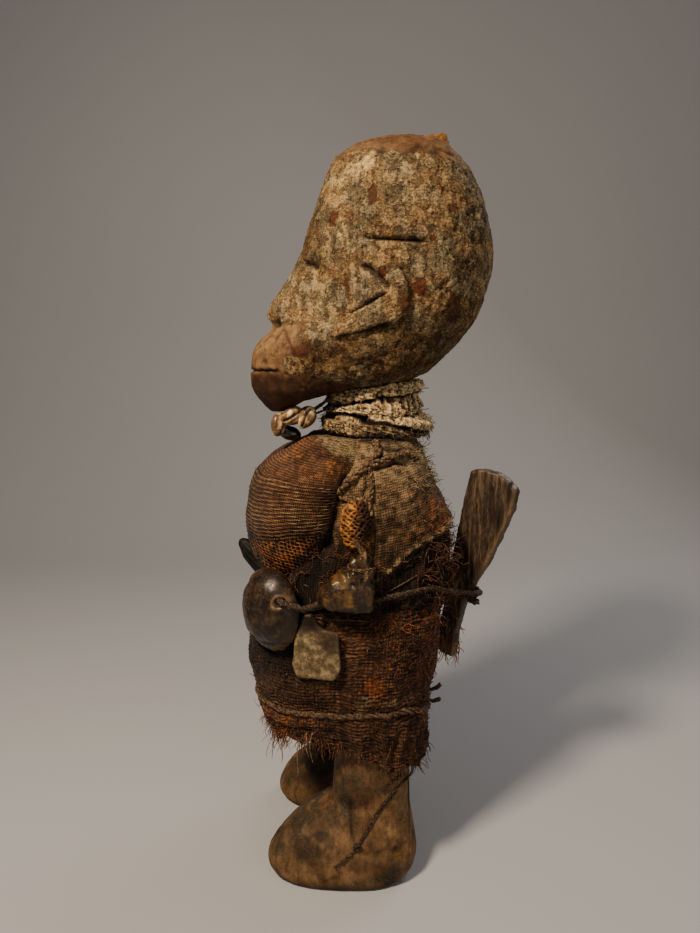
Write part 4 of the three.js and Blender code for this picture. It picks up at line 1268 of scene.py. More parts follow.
class WaistWrap(Cloth):
    """Dark smoked cloth, crumpled between the bundles and the belt."""

    def relief(self, skin: Skin, turn: Array, down: Array) -> None:
        """Crumples the cloth into upright folds and fine cords, with painted light on their ridges and
        painted shade in their troughs.
        """
        x, y, z = skin.points.T
        sway = 3 * skin.clouds(18, 2, 80)
        folds = np.sin(turn * 15 + 0.9 * sway + 0.05 * z)
        small = np.sin(turn * 170 + 2.0 * sway)
        pocket = (1 - ease(y, -6, 10)) * (x > 0)
        small *= 1 - pocket
        tangled = skin.clouds(5, 3, 81) + 1.2 * pocket * skin.clouds(7, 3, 84)
        skin.push(1.3 * folds * ease(z, 200, 212) + 0.45 * small + 0.8 * tangled)
        self.blank(
            skin,
            # painted light on the folds' ridges
            0.18 * folds + 0.2 * small - 0.05,
            dusty=0.15 * (1 - pocket) + 0.5 * skin.clouds(7, 3, 82),
            orange=0.3 * ease(skin.clouds(9, 2, 83), 0.1, 0.4) * ease(y, 30, 55),
            # painted shade in the folds' troughs
            dark=0.25 - 0.3 * folds + pocket * (0.35 + 0.6 * skin.clouds(9, 3, 85)),
        )
        skin.lay_cloth(turn / math.tau * self.girth, z, self.girth)


class SkirtWrap(Cloth):
    """Coarse brown sacking round the hips, drawn in by its cord above a ragged hem, and open below."""

    wall: float = 5.5
    inside_top: float = 124.0
    row: float = 2.4  # height of a row of the weave in mm

    def hem(self, x: Array, y: Array) -> Array:
        """Height of the hem: it arches in front and dips behind."""
        arch = 112 - 26 * ease(y, -35, 48) - 9 * ease(-y, 35, 66)
        return arch + 1.6 * np.sin(y * 0.31 + x * 0.05) + 1.2 * np.sin(x * 0.23 - y * 0.11)

    def cord_height(self, y: Array) -> Array:
        """Height of the cord that draws the skirt in."""
        return 131.5 - 11 * ease(y, 40, 63) - 3 * ease(-y, 40, 72)

    def build(self) -> Skin:
        """Winds the outer wall down to the hem, and the inner wall up from it."""
        skin, turn, share = ball(self.name + "_cloth", self.around, self.rings)
        outer = np.clip((share - 0.03) / 0.85, 0, 1)
        inner = np.clip((share - 0.9) / 0.07, 0, 1)
        x, y = self.levels.outline(turn, np.full(len(turn), 110.0))
        hem = self.hem(x, y)
        top = self.levels.high
        z = np.where(inner > 0, hem + 1.5 + (self.inside_top - hem) * inner, top + (hem - top) * outer)
        inset = self.wall * ease(share, 0.88, 0.9)
        x, y = self.levels.outline(turn, np.maximum(z, 100), inset)
        scale = np.minimum(np.clip(share / 0.03, 0, 1), np.clip((1 - share) / 0.03, 0, 1))
        skin.points = np.stack([x * scale, -2 + (y + 2) * scale, z], 1)
        skin.write()
        self.relief(skin, turn, outer)
        finished(skin, self.slot, self.finish.material(), self.name, fill=self.fill)
        return skin

    def relief(self, skin: Skin, turn: Array, down: Array) -> None:
        """Raises the rows of the weave, waves the cloth and stains it, with painted shade under its layer, at
        its top and inside it.
        """
        points = skin.points
        x, y, z = points.T
        hem = self.hem(x, y)
        cord = self.cord_height(y)
        outside = down < 1
        sway = clouds(points, 24, 3, 90)
        level = z - 0.35 * (hem - 112) * (1 - ease(z, 100, 150)) + 2.6 * sway + 0.5 * clouds(points, 5, 2, 97)
        rows = np.sin(math.tau * level / self.row)
        across = np.sin(turn * round(self.girth / 2.2) + 3 * sway)
        waves = 1.5 * clouds(points, 30, 3, 91) + 0.8 * clouds(points, 9, 3, 98)
        drawn = bell(z - cord + 1.5 * sway, 4.0)
        ruffle = (1 - ease(z, cord - 22, cord - 4)) * np.sin(turn * 26 + 6 * sway) * 1.3
        layer = (1 - ease(z - cord + 11 + 3 * sway, -0.6, 0.6)) * ease(-y, -30, 20)
        bits = clouds(points, 2.4, 3, 92)
        relief = waves + 0.42 * rows + 0.2 * across + ruffle - 1.0 * drawn + 0.45 * bits - 1.1 * layer
        skin.push(np.where(outside, relief, 0.4 * waves))
        spot = blotch(points, (16.8, 152.6), (6, 7.5), 93)
        threads = ease(np.sin(turn * 43 + 9 * sway + 0.02 * z), 0.75, 0.98)
        threads *= ease(clouds(points, 12, 2, 99), 0, 0.3)
        behind = ease(y, 40, 58) * ease(z, 125, 150)
        below_cord = 1 - ease(z, cord - 6, cord)
        front = ease(-y, 8, 45)
        self.blank(
            skin,
            # painted light on the ridges of the rows
            0.1 * rows + 0.06 * across + 0.22 * bits,
            orange=0.9 * spot
            + 0.4 * threads * ease(y, -15, 10) * ease(z, 135, 160)
            + 0.24 * behind * ease(clouds(points, 9, 2, 94), -0.1, 0.3)
            + 0.2 * ease(clouds(points, 5, 3, 95), 0.15, 0.4)
            + 0.2 * below_cord * front,
            dusty=0.38 * bell(z - cord - 9, 7) * ease(y, -20, 20) * (1 - ease(y, 40, 55))
            + 0.3 * ease(clouds(points, 13, 3, 96), 0.0, 0.4) * ease(y, -30, 10) * (1 - below_cord)
            + 0.12 * below_cord * (1 - front),
            # painted shade under the layer's edge, at the top under the waist cloth and all over the inside;
            # darker at the front
            dark=0.66 * front * ease(z, 138, 165)
            + 0.38 * front * (1 - below_cord)
            + 0.6 * layer * bell(z - cord + 12, 2)
            + 0.7 * ease(z, 196, 203)
            + np.where(outside, 0.0, 0.85)
            - 0.2,
        )
        skin.lay_cloth(turn / math.tau * self.girth, level, self.girth)


# Cords and fibres


def curve_through(points: Sequence[Point], step: float, closed: bool = False) -> Array:
    """Evenly spaced points of a smooth curve through some places.

    Args:
        points: the places in mm.
        step: how far apart the new points are.
        closed: whether the curve comes back to its start.

    Returns:
        One point in each row.
    """
    places = np.array(points, float)
    if closed:
        padded = np.vstack([places[-1], places, places[:2]])
    else:
        padded = np.vstack([2 * places[0] - places[1], places, 2 * places[-1] - places[-2]])
    share = np.linspace(0, 1, 24, endpoint=False)[:, None]
    stretches = []
    for before, here, there, after in zip(padded, padded[1:], padded[2:], padded[3:]):
        bend = 2 * before - 5 * here + 4 * there - after
        turn = 3 * here - before - 3 * there + after
        stretches.append(here + 0.5 * share * (there - before + share * (bend + share * turn)))
    line = np.vstack([*stretches, padded[-2]])
    walked = walked_along(line)
    even = np.linspace(0, walked[-1], max(4, round(walked[-1] / step)))
    return read_along(line, walked, even)


def side_frames(line: Array) -> tuple[Array, Array]:
    """Two directions across a curve at each of its points, turning as little as they can.

    Args:
        line: the curve, one place in each row.

    Returns:
        The two directions at each place.
    """
    along = np.gradient(line, axis=0)
    along /= np.linalg.norm(along, axis=1)[:, None]
    start = np.cross(along[0], (0.3, 0.2, 1.0))
    normals = [start / np.linalg.norm(start)]
    for direction in along[1:]:
        kept = normals[-1] - direction * (normals[-1] @ direction)
        normals.append(kept / np.linalg.norm(kept))
    normal = np.array(normals)
    return normal, np.cross(along, normal)


def tubes(name: str, lines: Sequence[Array], radii: Sequence[Array], fineness: int = 1) -> Skin:
    """Round tubes along lines of points, as one mesh.

    Args:
        name: the piece's name.
        lines: the points of each tube, in mm.
        radii: the radius at each point, in mm.
        fineness: 0 gives four sides, and each step more gives two more.

    Returns:
        The piece.
    """
    data = bpy.data.curves.new(name, "CURVE")
    data.dimensions = "3D"
    data.bevel_depth = 0.001
    data.bevel_resolution = fineness
    data.use_fill_caps = True
    for line, radius in zip(lines, radii):
        spline = data.splines.new("POLY")
        spline.points.add(len(line) - 1)
        placed = np.column_stack([(line - MIDDLE) / 1000, np.ones(len(line))])
        spline.points.foreach_set("co", placed.astype(np.float32).ravel())
        spline.points.foreach_set("radius", np.asarray(radius, np.float32))
    piece = bpy.data.objects.new(name, data)
    bpy.context.scene.collection.objects.link(piece)
    select_only(piece)
    bpy.ops.object.convert(target="MESH")
    return Skin(bpy.context.object)


@dataclass
class Cord:
    """A twisted cord that lies on the figure."""

    name: str
    slot: str
    route: Sequence[Point]
    radius: float
    finish: Fibre
    nodes: tuple[str, ...] = ()
    plies: int = 2
    lay: float = 5.0  # length of one turn of the twist, in radii
    closed: bool = False
    wander: float = 0.15  # how far the strands stray, as a share of the radius

    def strands(self, seed: int) -> tuple[list[Array], list[Array]]:
        """The line and the radii of each ply.

        Args:
            seed: what makes the strands stray unlike others.

        Returns:
            One line and one row of radii for each ply.
        """
        line = curve_through(self.route, self.radius * 0.45, self.closed)
        normal, binormal = side_frames(line)
        walked = walked_along(line)
        lines, radii = [], []
        for ply in range(self.plies):
            angle = math.tau * (walked / (self.lay * self.radius) + ply / self.plies)
            stray = clouds(line, self.radius * 6, 2, seed + ply) * self.wander
            reach = self.radius * (0.5 + stray)
            offset = normal * np.cos(angle)[:, None] + binormal * np.sin(angle)[:, None]
            lines.append(line + offset * reach[:, None])
            radii.append(self.radius * (0.56 + 0.5 * clouds(line, self.radius * 3, 2, seed + 7 + ply) * 0.3))
        return lines, radii

    def build(self) -> Skin:
        """Twists the plies together."""
        lines, radii = self.strands(len(self.name))
        skin = tubes(self.name, lines, radii)
        finished(skin, self.slot, self.finish.material(), *self.nodes)
        return skin


class Growth(Enum):
    """How loose fibres stand: on their own, hanging down, or lying along the cloth."""

    STRAY = 0.0
    HANG = 1.0
    LIE = -1.0


@dataclass
class Fray:
    """Loose fibres that grow out of a cloth where it is torn or worn."""

    name: str
    slot: str
    finish: Fibre
    count: int
    length: tuple[float, float]
    growth: Growth = Growth.STRAY
    radius: float = 0.22
    drift: Point = (0.0, 0.0, 0.0)
    curl: float = 0.5
    steps: int = 5

    def line(self, start: Array, normal: Array, chance: np.random.Generator) -> Array:
        """One fibre, from inside the cloth outwards.

        Args:
            start: its root on the cloth.
            normal: the cloth's outward direction there.
            chance: where its random numbers come from.

        Returns:
            Its places, one in each row.
        """
        length = chance.uniform(*self.length)
        away = normal * (0.25 if self.growth is Growth.LIE else 0.8)
        down = np.array([0, 0, -1.0]) * max(self.growth.value, 0)
        heading = away + down + np.array(self.drift) + chance.normal(0, self.curl, 3)
        if self.growth is Growth.LIE:
            heading -= normal * (heading @ normal) * 0.85
        heading /= np.linalg.norm(heading)
        places = [start - normal * 0.6]
        for _ in range(self.steps):
            places.append(places[-1] + heading * length / self.steps)
            heading = heading + chance.normal(0, self.curl * 0.55, 3) + 0.16 * down
            if self.growth is Growth.LIE:
                heading -= normal * (heading @ normal) * 0.5
            heading /= np.linalg.norm(heading)
        return np.array(places)

    def grow(self, skin: Skin, where: Array, seed: int) -> Skin:
        """Grows the fibres from a cloth.

        Args:
            skin: the cloth.
            where: which of its points they may start from.
            seed: what makes this growth differ from others.

        Returns:
            The fibres, as one piece.
        """
        chance = np.random.default_rng(seed)
        normals = skin.read("normal")
        starts = chance.choice(np.flatnonzero(where), self.count)
        lines = [self.line(skin.points[i], normals[i], chance) for i in starts]
        taper = np.linspace(1.0, 0.45, self.steps + 1) * self.radius
        radii = [taper * chance.uniform(0.7, 1.3) for _ in lines]
        made = tubes(self.name, lines, radii, 0)
        finished(made, self.slot, self.finish.material())
        return made


# Lashings


def struck(origin: Point, aim: Point, skins: Sequence[Skin], lift: float) -> Optional[Array]:
    """Where a line first meets the pieces, lifted off their surface.

    Args:
        origin: where the line starts, in mm.
        aim: a place that it goes towards.
        skins: the pieces.
        lift: how far off the surface the place is, in mm.

    Returns:
        The place, or None where the line meets nothing.
    """
    start = (np.array(origin, float) - MIDDLE) / 1000
    way = (np.array(aim, float) - MIDDLE) / 1000 - start
    way /= np.linalg.norm(way)
    best, found = 1e9, None
    for skin in skins:
        hit, place, normal, _ = skin.piece.ray_cast(start.tolist(), way.tolist())
        if hit and (far := np.linalg.norm(np.array(place) - start)) < best:
            best = far
            found = np.array(place) * 1000 + MIDDLE + (np.array(normal) - way) / 2 * lift
    return found


def on_side(spots: Line, skins: Sequence[Skin], lift: float) -> list[Array]:
    """Lays y and z points on the figure's left side."""
    places = [struck((150, y, z), (0, y, z), skins, lift) for y, z in spots]
    return [place for place in places if place is not None]


def tight_loop(points: Sequence[Point], step: float = 9.0) -> Array:
    """A taut loop round points as seen from above, with the heights that they have.

    Args:
        points: places in mm.
        step: how far apart the loop's places are.

    Returns:
        One place in each row.
    """

    def half(ordered: list[Point]) -> list[Point]:
        """One side of the outline of points that are in order."""
        side: list[Point] = []
        for point in ordered:
            while len(side) > 1:
                (ax, ay, _), (bx, by, _) = side[-2:]
                if (bx - ax) * (point[1] - ay) - (by - ay) * (point[0] - ax) > 0:
                    break
                side.pop()
            side.append(point)
        return side[:-1]

    ordered = sorted(tuple(point) for point in points)
    corners = np.array(half(ordered) + half(ordered[::-1]))
    closed = np.vstack([corners, corners[:1]])
    walked = walked_along(closed)
    even = np.linspace(0, walked[-1], round(walked[-1] / step), endpoint=False)
    return read_along(closed, walked, even)


@dataclass
class Lashings:
    """All the cords that hold the bundles, the skirt and the charms."""

    figure: Skin
    neck: Skin
    chest: Skin
    back: Skin
    waist: Skin
    skirt: Skin
    skirt_wrap: SkirtWrap
    dark: Fibre = Fibre("dark_twisted_cord", "#2a1c12", "#5c4630", "#0e0805", 0.7)
    pale: Fibre = Fibre("pale_twisted_cord", "#4a3524", "#7d6447", "#1a0f08")
    cloth: Fibre = Fibre("twisted_brown_cloth", "#4b3522", "#8d7350", "#1a0e07")
    rag: Fibre = Fibre("stained_rag", "#46341f", "#7a613d", "#1b1108")
    sunken: Fibre = Fibre("dirty_twisted_cord", "#453121", "#715840", "#180e08")
    belt_radius: float = 1.9
    slat_back: float = 98.6  # y where the belt passes behind the slat

    def belt_height(self, y: Array) -> Array:
        """The belt falls to the front and to the knot behind."""
        return 213 + 5 * ease(y, 0, 48) - 20 * ease(y, 48, 95) - 11 * ease(-y, 0, 60)

    def belt(self) -> Cord:
        """The belt, tight round the waist and the slat."""
        turn = np.linspace(0, math.tau, 90, endpoint=False)
        lift = self.belt_radius + 1.0
        points = []
        for levels in (WAIST, SKIRT):
            z = np.full(len(turn), 213.0)
            for _ in range(4):
                x, y = levels.outline(turn, np.clip(z, levels.low, levels.high), -lift)
                z = self.belt_height(y)
            points += list(zip(x.tolist(), y.tolist(), z.tolist()))
        behind = float(self.belt_height(np.array(self.slat_back)))
        points += [(x, self.slat_back - 0.3 * abs(x - 4), behind) for x in (-6, 2, 9)]
        route = tight_loop(points)
        return Cord("belt", "dark_cord", route, self.belt_radius, self.dark, ("belt_cord",), 3, 6, True, 0.3)

    def belt_knot(self) -> Cord:
        """The knot wound over the slat's back edge."""
        turn = np.linspace(0, math.tau * 2.4, 26)
        around = np.stack([4.2 * np.cos(turn), 3.4 * np.sin(turn), 3.6 * np.sin(turn * 0.55 + 0.6)], 1)
        route = around + np.array([11.2, 91.2, 196.6])
        return Cord("belt_knot", "dark_cord", route.tolist(), 1.8, self.dark, (), 2, 5)

    def hem_cord(self) -> Cord:
        """The cord that draws the skirt in, sunk in the cloth."""
        route = []
        for angle in np.linspace(0, math.tau, 72, endpoint=False):
            y = 68 * math.cos(angle)
            height = float(self.skirt_wrap.cord_height(np.array(y)))
            aim = (0, -5, height)
            start = (150 * math.sin(angle), -5 + 150 * math.cos(angle), height)
            route.append(struck(start, aim, [self.skirt], 0.6))
        return Cord("hem_cord_strands", "pale_cord", route, 2.1, self.sunken, ("hem_cord",), 3, 9, True, 0.5)

    def hem_tufts(self) -> list[Cord]:
        """The two stiff ends of the hem's cord, behind."""
        upper = [(20, 50, 129), (26, 56, 131), (29, 61, 133), (30, 66, 137)]
        lower = [(21, 49, 126), (27, 56, 125.5), (30, 61, 124), (31, 66, 126)]
        return [
            Cord("hem_tuft_upper", "pale_cord", upper, 1.3, self.pale, plies=3, lay=12, wander=0.9),
            Cord("hem_tuft_lower", "pale_cord", lower, 1.5, self.pale, plies=3, lay=12, wander=0.9),
        ]

    def straps(self) -> list[Cord]:
        """Twisted cloth over the left shoulder: two meet, and go on to the gather and the side."""
        near = [self.chest, self.back, self.neck]
        down = [(16, 317), (18.5, 312), (17, 307), (12, 302), (5, 296), (-2, 290), (-7, 285)]
        over = [(46, 304), (38, 307.5), (31, 307.5), (22, 305), (13, 302)]
        along = [(12, 301), (14, 296), (14.5, 289), (13.5, 281), (11, 275)]
        thin = [(9, 298), (9.5, 291), (8, 285), (10, 279)]
        gather = [(-8, 286), (-6, 281), (0, 279.5), (7, 280), (12, 277), (14, 270)]
        lower, drawn = on_side(down, near, 1.8), on_side(gather, near, 1.5)
        return [
            Cord("strap_down", "pale_cord", lower, 2.6, self.cloth, ("shoulder_straps",), 2, 6),
            Cord("strap_over", "pale_cord", on_side(over, near, 1.2), 2.2, self.cloth, (), 2, 7, wander=0.4),
            Cord("strap_along", "pale_cord", on_side(along, near, 1.2), 1.3, self.cloth, (), 2, 6),
            Cord("strap_thin", "pale_cord", on_side(thin, near, 1.0), 0.9, self.cloth, (), 2, 6),
            Cord("strap_gather", "pale_cord", drawn, 1.9, self.cloth, (), 2, 5, wander=0.4),
        ]

    def leg_string(self) -> list[Cord]:
        """The string on the left leg, with its knot and a loose end."""
        outer = [(-11, 20), (-2, 27.5), (5, 34.5), (12, 45), (19, 55), (32, 71)]
        outside = on_side(outer, [self.figure], 0.9)
        behind = [(53, 40.5, 77), (45, 45, 78), (32, 45, 78), (22, 40.5, 76)]
        inside = [(18, 32, 72), (17, 22, 66), (17.5, 12, 60)]
        second = on_side([(6, 35), (14, 46), (22, 57), (33, 70)], [self.figure], 0.8)
        knot_at = outside[2]
        turn = np.linspace(0, math.tau * 2, 18)
        knot = np.stack([0.8 * np.sin(turn * 0.5) + 0.5, 1.9 * np.cos(turn), 1.7 * np.sin(turn)], 1) + knot_at
        twig = on_side([(22, 72), (30, 78), (38, 82)], [self.figure], 1.0)
        heel = on_side([(41, 79), (42, 66), (42.5, 55), (43, 40)], [self.figure], 0.4)
        route = [*outside, *behind, *inside]
        return [
            Cord("leg_string_strands", "dark_cord", route, 0.95, self.dark, ("leg_string",), 2, 8),
            Cord("leg_string_second", "dark_cord", second, 0.6, self.dark),
            Cord("leg_string_knot", "dark_cord", knot, 1.1, self.dark),
            Cord("leg_string_end", "dark_cord", twig, 1.3, self.dark),
            Cord("leg_string_heel", "dark_cord", heel, 0.6, self.dark),
        ]

    def charm_cords(self) -> list[Cord]:
        """What carries the shells under the chin, and ties the dome and the pouch."""
        chin = [(23, -13, 345), (17, -22, 338), (9, -34, 330.5), (5, -45, 326.5)]
        chin += [(-4, -47, 326), (-12, -34, 330), (-19, -20, 338), (-24, -10, 345)]
        second = [(24, -8, 342), (19, -20, 335), (14, -32, 331), (9, -42, 327)]
        tie = [(68, -48, 214), (73.5, -44.5, 216), (76, -38, 214)]
        tie += [(76, -31, 212), (73, -24, 212), (68, -19, 213)]
        loops = []
        for angle in np.linspace(0, math.tau * 1.7, 30):
            height = 237.5 + 1.4 * math.sin(angle * 0.8)
            loops.append((69.5 + 8 * math.sin(angle), 7.5 + 8.5 * math.cos(angle), height))
        rag = [(70, 3, 256), (73, 8, 248), (75.5, 10, 240), (79, 11, 232)]
        dashed = [(-33, 203), (-24, 201), (-13, 200.2), (0, 199.6), (10, 198.8)]
        dashes = on_side(dashed, [self.skirt, self.waist], 0.5)
        beads = on_side([(17, 214), (30, 220), (42, 226), (52, 231)], [self.back, self.waist], 0.4)
        return [
            Cord("cowrie_cord_strands", "dark_cord", chin, 1.2, self.dark, ("cowrie_cord",)),
            Cord("cowrie_cord_second", "dark_cord", second, 0.9, self.dark),
            Cord("shell_tie", "dark_cord", tie, 2.3, self.dark, (), 3, 4, wander=0.8),
            Cord("pouch_tie", "pale_cord", loops, 0.8, self.rag, wander=0.7),
            Cord("pouch_rag", "pale_cord", rag, 2.2, self.rag, plies=3, lay=13, wander=0.9),
            Cord("waist_thread", "dark_cord", dashes, 0.5, self.pale),
            Cord("edge_thread", "pale_cord", beads, 0.5, self.pale, (), 2, 4, wander=0.8),
        ]

    def build(self) -> None:
        """Twists every cord."""
        bpy.context.view_layer.update()
        cords = [self.belt(), self.belt_knot(), self.hem_cord(), *self.hem_tufts()]
        for cord in [*cords, *self.straps(), *self.leg_string(), *self.charm_cords()]:
            cord.build()


@dataclass
class LooseFibres:
    """The fibres that have worked loose from the cloths, and the fringe of the hem."""

    neck: Skin
    chest: Skin
    back: Skin
    waist: Skin
    skirt: Skin
    skirt_wrap: SkirtWrap
    orange: Fibre = Fibre("orange_bast_fibre", "#5c2c11", "#9c5a24", "#260f06", 0.6)
    brown: Fibre = Fibre("brown_bast_fibre", "#3a2011", "#75502f", "#140905", 0.7)
    grey: Fibre = Fibre("grey_bast_fibre", "#6a573e", "#a8926c", "#2e2114")

    def grow(self, skin: Skin, slot: str, rows: Sequence[tuple], drift: Point = (0.0, 0.0, 0.0)) -> None:
        """Grows several kinds of fibre on one cloth.

        Args:
            skin: the cloth.
            slot: the record's material slot.
            rows: name, finish, count, shortest and longest, growth, radius, curl, which points and seed.
            drift: which way all of them lean.
        """
        for name, finish, count, length, growth, radius, curl, where, seed in rows:
            Fray(name, slot, finish, count, length, growth, radius, drift, curl).grow(skin, where, seed)

    def build(self) -> None:
        """Grows each kind of fibre where the cloth is worn."""
        hang, lie, stray = Growth.HANG, Growth.LIE, Growth.STRAY
        brown, orange, grey = self.brown, self.orange, self.grey
        x, y, z = self.skirt.points.T
        hem = self.skirt_wrap.hem(x, y)
        cord = self.skirt_wrap.cord_height(y)
        near_hem = (z < hem + 7) & (self.skirt.read("normal")[:, 2] < 0.5)
        high = (z > cord) & (z < 200)
        rows = [
            ("hem_fringe", brown, 520, (4, 13), hang, 0.3, 0.5, near_hem, 1),
            ("hem_fringe_front", orange, 230, (5, 15), hang, 0.26, 0.6, near_hem & (y < -5), 2),
            ("hem_long_ends", grey, 14, (14, 22), hang, 0.45, 0.4, near_hem & (y < -20) & (x > -20), 3),
            ("flounce_threads", orange, 380, (4, 12), lie, 0.3, 0.9, (z < cord) & (z > hem), 4),
            ("skirt_threads", brown, 520, (4, 12), lie, 0.3, 0.9, high, 5),
            ("skirt_orange_threads", orange, 240, (3, 11), lie, 0.32, 0.9, high & (y > -10) & (x > 0), 6),
            ("skirt_top_tangle", orange, 130, (8, 20), lie, 0.4, 1.1, (z > 186) & (z < 202) & (y > 25), 7),
        ]
        self.grow(self.skirt, "skirt_sacking", rows)
        x, y, z = self.waist.points.T
        behind = (y > 48) & (z < 250)
        rows = [
            ("waist_tangle", brown, 260, (8, 22), stray, 0.35, 0.8, behind, 8),
            ("waist_orange", orange, 90, (6, 18), stray, 0.3, 0.9, behind, 9),
        ]
        self.grow(self.waist, "dark_cloth", rows, (0.25, 0.9, -0.3))
        pocket = (y < 12) & (y > -45) & (x > 0) & (z > 204)
        rows = [
            ("pocket_tangle", brown, 200, (5, 15), lie, 0.45, 1.1, pocket, 17),
            ("pocket_orange", orange, 60, (5, 13), lie, 0.35, 1.1, pocket, 18),
        ]
        self.grow(self.waist, "dark_cloth", rows)
        x, y, z = self.back.points.T
        edge = BackBundle.edge_height + BackBundle.edge_slope * y
        shoulder = (y > 40) & (z > 285) & (z < 310) & (x > 0)
        rows = [
            ("back_edge_fray", grey, 200, (2, 7), stray, 0.22, 0.7, (z < edge + 8) & (y > 5), 10),
            ("back_fuzz", grey, 260, (2, 7), stray, 0.2, 0.6, (y > 46) & (z < 312), 11),
            ("back_threads", grey, 420, (2, 7), lie, 0.24, 0.9, z > 235, 12),
            ("shoulder_fringe", grey, 70, (4, 9), stray, 0.3, 0.3, shoulder, 16),
        ]
        self.grow(self.back, "sacking", rows)
        x, y, z = self.neck.points.T
        rows = [
            ("neck_threads", grey, 420, (3, 10), lie, 0.4, 0.8, np.ones(len(z), bool), 13),
            ("neck_fringe", grey, 150, (2, 6), hang, 0.3, 0.4, (z < 329) & (y > 0), 14),
        ]
        self.grow(self.neck, "crusted_cloth", rows)
        x, y, z = self.chest.points.T
        gather = (z < 262) & (z > 215) & (y > -30) & (x > 0)
        rows = [
            ("gather_tangle", brown, 140, (4, 12), lie, 0.4, 1.1, gather, 19),
            ("chest_fuzz", brown, 200, (2, 5), lie, 0.2, 0.8, (z > 255) & (y < 0), 15),
        ]
        self.grow(self.chest, "corded_cloth", rows)


# Charms


@dataclass
class Charm:
    """A small hard thing that is tied to the figure."""

    finish: Glazed

    def dress(self, skin: Skin, slot: str, node: str, **painted: Array) -> Skin:
        """Paints what the finish reads and dresses the piece.

        Args:
            skin: the piece.
            slot: the record's material slot.
            node: the CAD node that it stands for.
            painted: the patch and dark numbers, where it has any.

        Returns:
            The piece.
        """
        for name in ("patch", "dark"):
            skin.paint(name, painted.get(name, np.zeros(len(skin.points))))
        finished(skin, slot, self.finish.material(), node)
        return skin


@dataclass
class BellyShell(Charm):
    """A glossy dome on the belly, with a bored hole and a toothed lower rim."""

    finish: Glazed = Glazed(
        "dark_shell", "#0d0805", "#22170e", "#44331f", 7, (0.3, 0.55), 0.05, patch="#6b5238", shine=0.28
    )
    place: Point = (53.0, -51.8, 204.5)
    radius: float = 28.0
    wide: float = 24.5
    height: float = 19.0
    faces: float = 0.75
    base: float = 5.0
    hole: tuple[float, float, float] = (17.5, 10.5, 3.0)

    def build(self) -> Skin:
        """Domes the shell, bores the hole, wrinkles the back and cuts the teeth; paints a highlight on the
        hole's rim and shade inside the hole and in the lip's groove.
        """
        skin, _, _ = ball("shell_dome", 132, 76)
        across, up, out = skin.read("co").T
        # the ball's pole looks outwards, and its front half is the dome
        round_share = np.hypot(across, up)
        angle = np.arctan2(up, across)
        front = out > 0
        teeth = np.clip(np.cos((angle + 1.575) * math.tau / 0.208), 0, 1)
        teeth *= ease(angle, -2.5, -2.35) * (1 - ease(angle, -0.8, -0.65)) * (0.6 + 0.4 * np.sin(angle * 9))
        rim = 1 + 0.1 * teeth * ease(round_share, 0.8, 1.0) + 0.012 * np.sin(angle * 7)
        low_rim = bell(angle + 1.57, 0.95) * ease(round_share, 0.84, 0.93)
        a = across * self.wide * rim
        b = up * self.radius * rim
        c = np.where(front, out * self.height, out * self.base)
        flat = np.stack([a, b, np.zeros(len(a))], 1)
        inner = ease(1 - round_share, 0, 0.2) * front
        ridge = bell(a + 0.45 * b + 4, 2.6) * ease(b, -12, 0)
        c = c + (0.9 * ridge + 1.3 * clouds(flat, 14, 3, 100) + 0.3 * clouds(flat, 4, 2, 102)) * inner
        lip = bell(b + 20, 1.6) * front * ease(round_share, 0.5, 0.7)
        c = c - 1.1 * lip
        beak = np.exp(-(((a + 13) / 4.5) ** 2) - ((b - 24) / 3.5) ** 2) * front
        c = c + 2.2 * beak
        hole_far = np.hypot(a - self.hole[0], b - self.hole[1])
        hole_rim = bell(hole_far - self.hole[2] - 0.9, 0.8) * front
        depth = (1 - ease(hole_far, self.hole[2] - 0.9, self.hole[2] + 0.2)) * front
        c = c - 6 * depth + 0.7 * hole_rim
        outward = np.array([math.cos(self.faces), -math.sin(self.faces), 0.0])
        along = np.array([math.sin(self.faces), math.cos(self.faces), 0.0])
        skin.points = np.array(self.place) + a[:, None] * along + c[:, None] * outward
        skin.points[:, 2] += b
        skin.write()
        # painted highlight on the hole's rim; the pale teeth and beak are the shell's own colour
        bright = np.maximum.reduce([0.7 * hole_rim, low_rim * 0.75, 0.6 * beak])
        # painted shade inside the hole and in the lip's groove
        return self.dress(skin, "shell_bone", "belly_shell", patch=bright, dark=np.maximum(depth, 0.4 * lip))


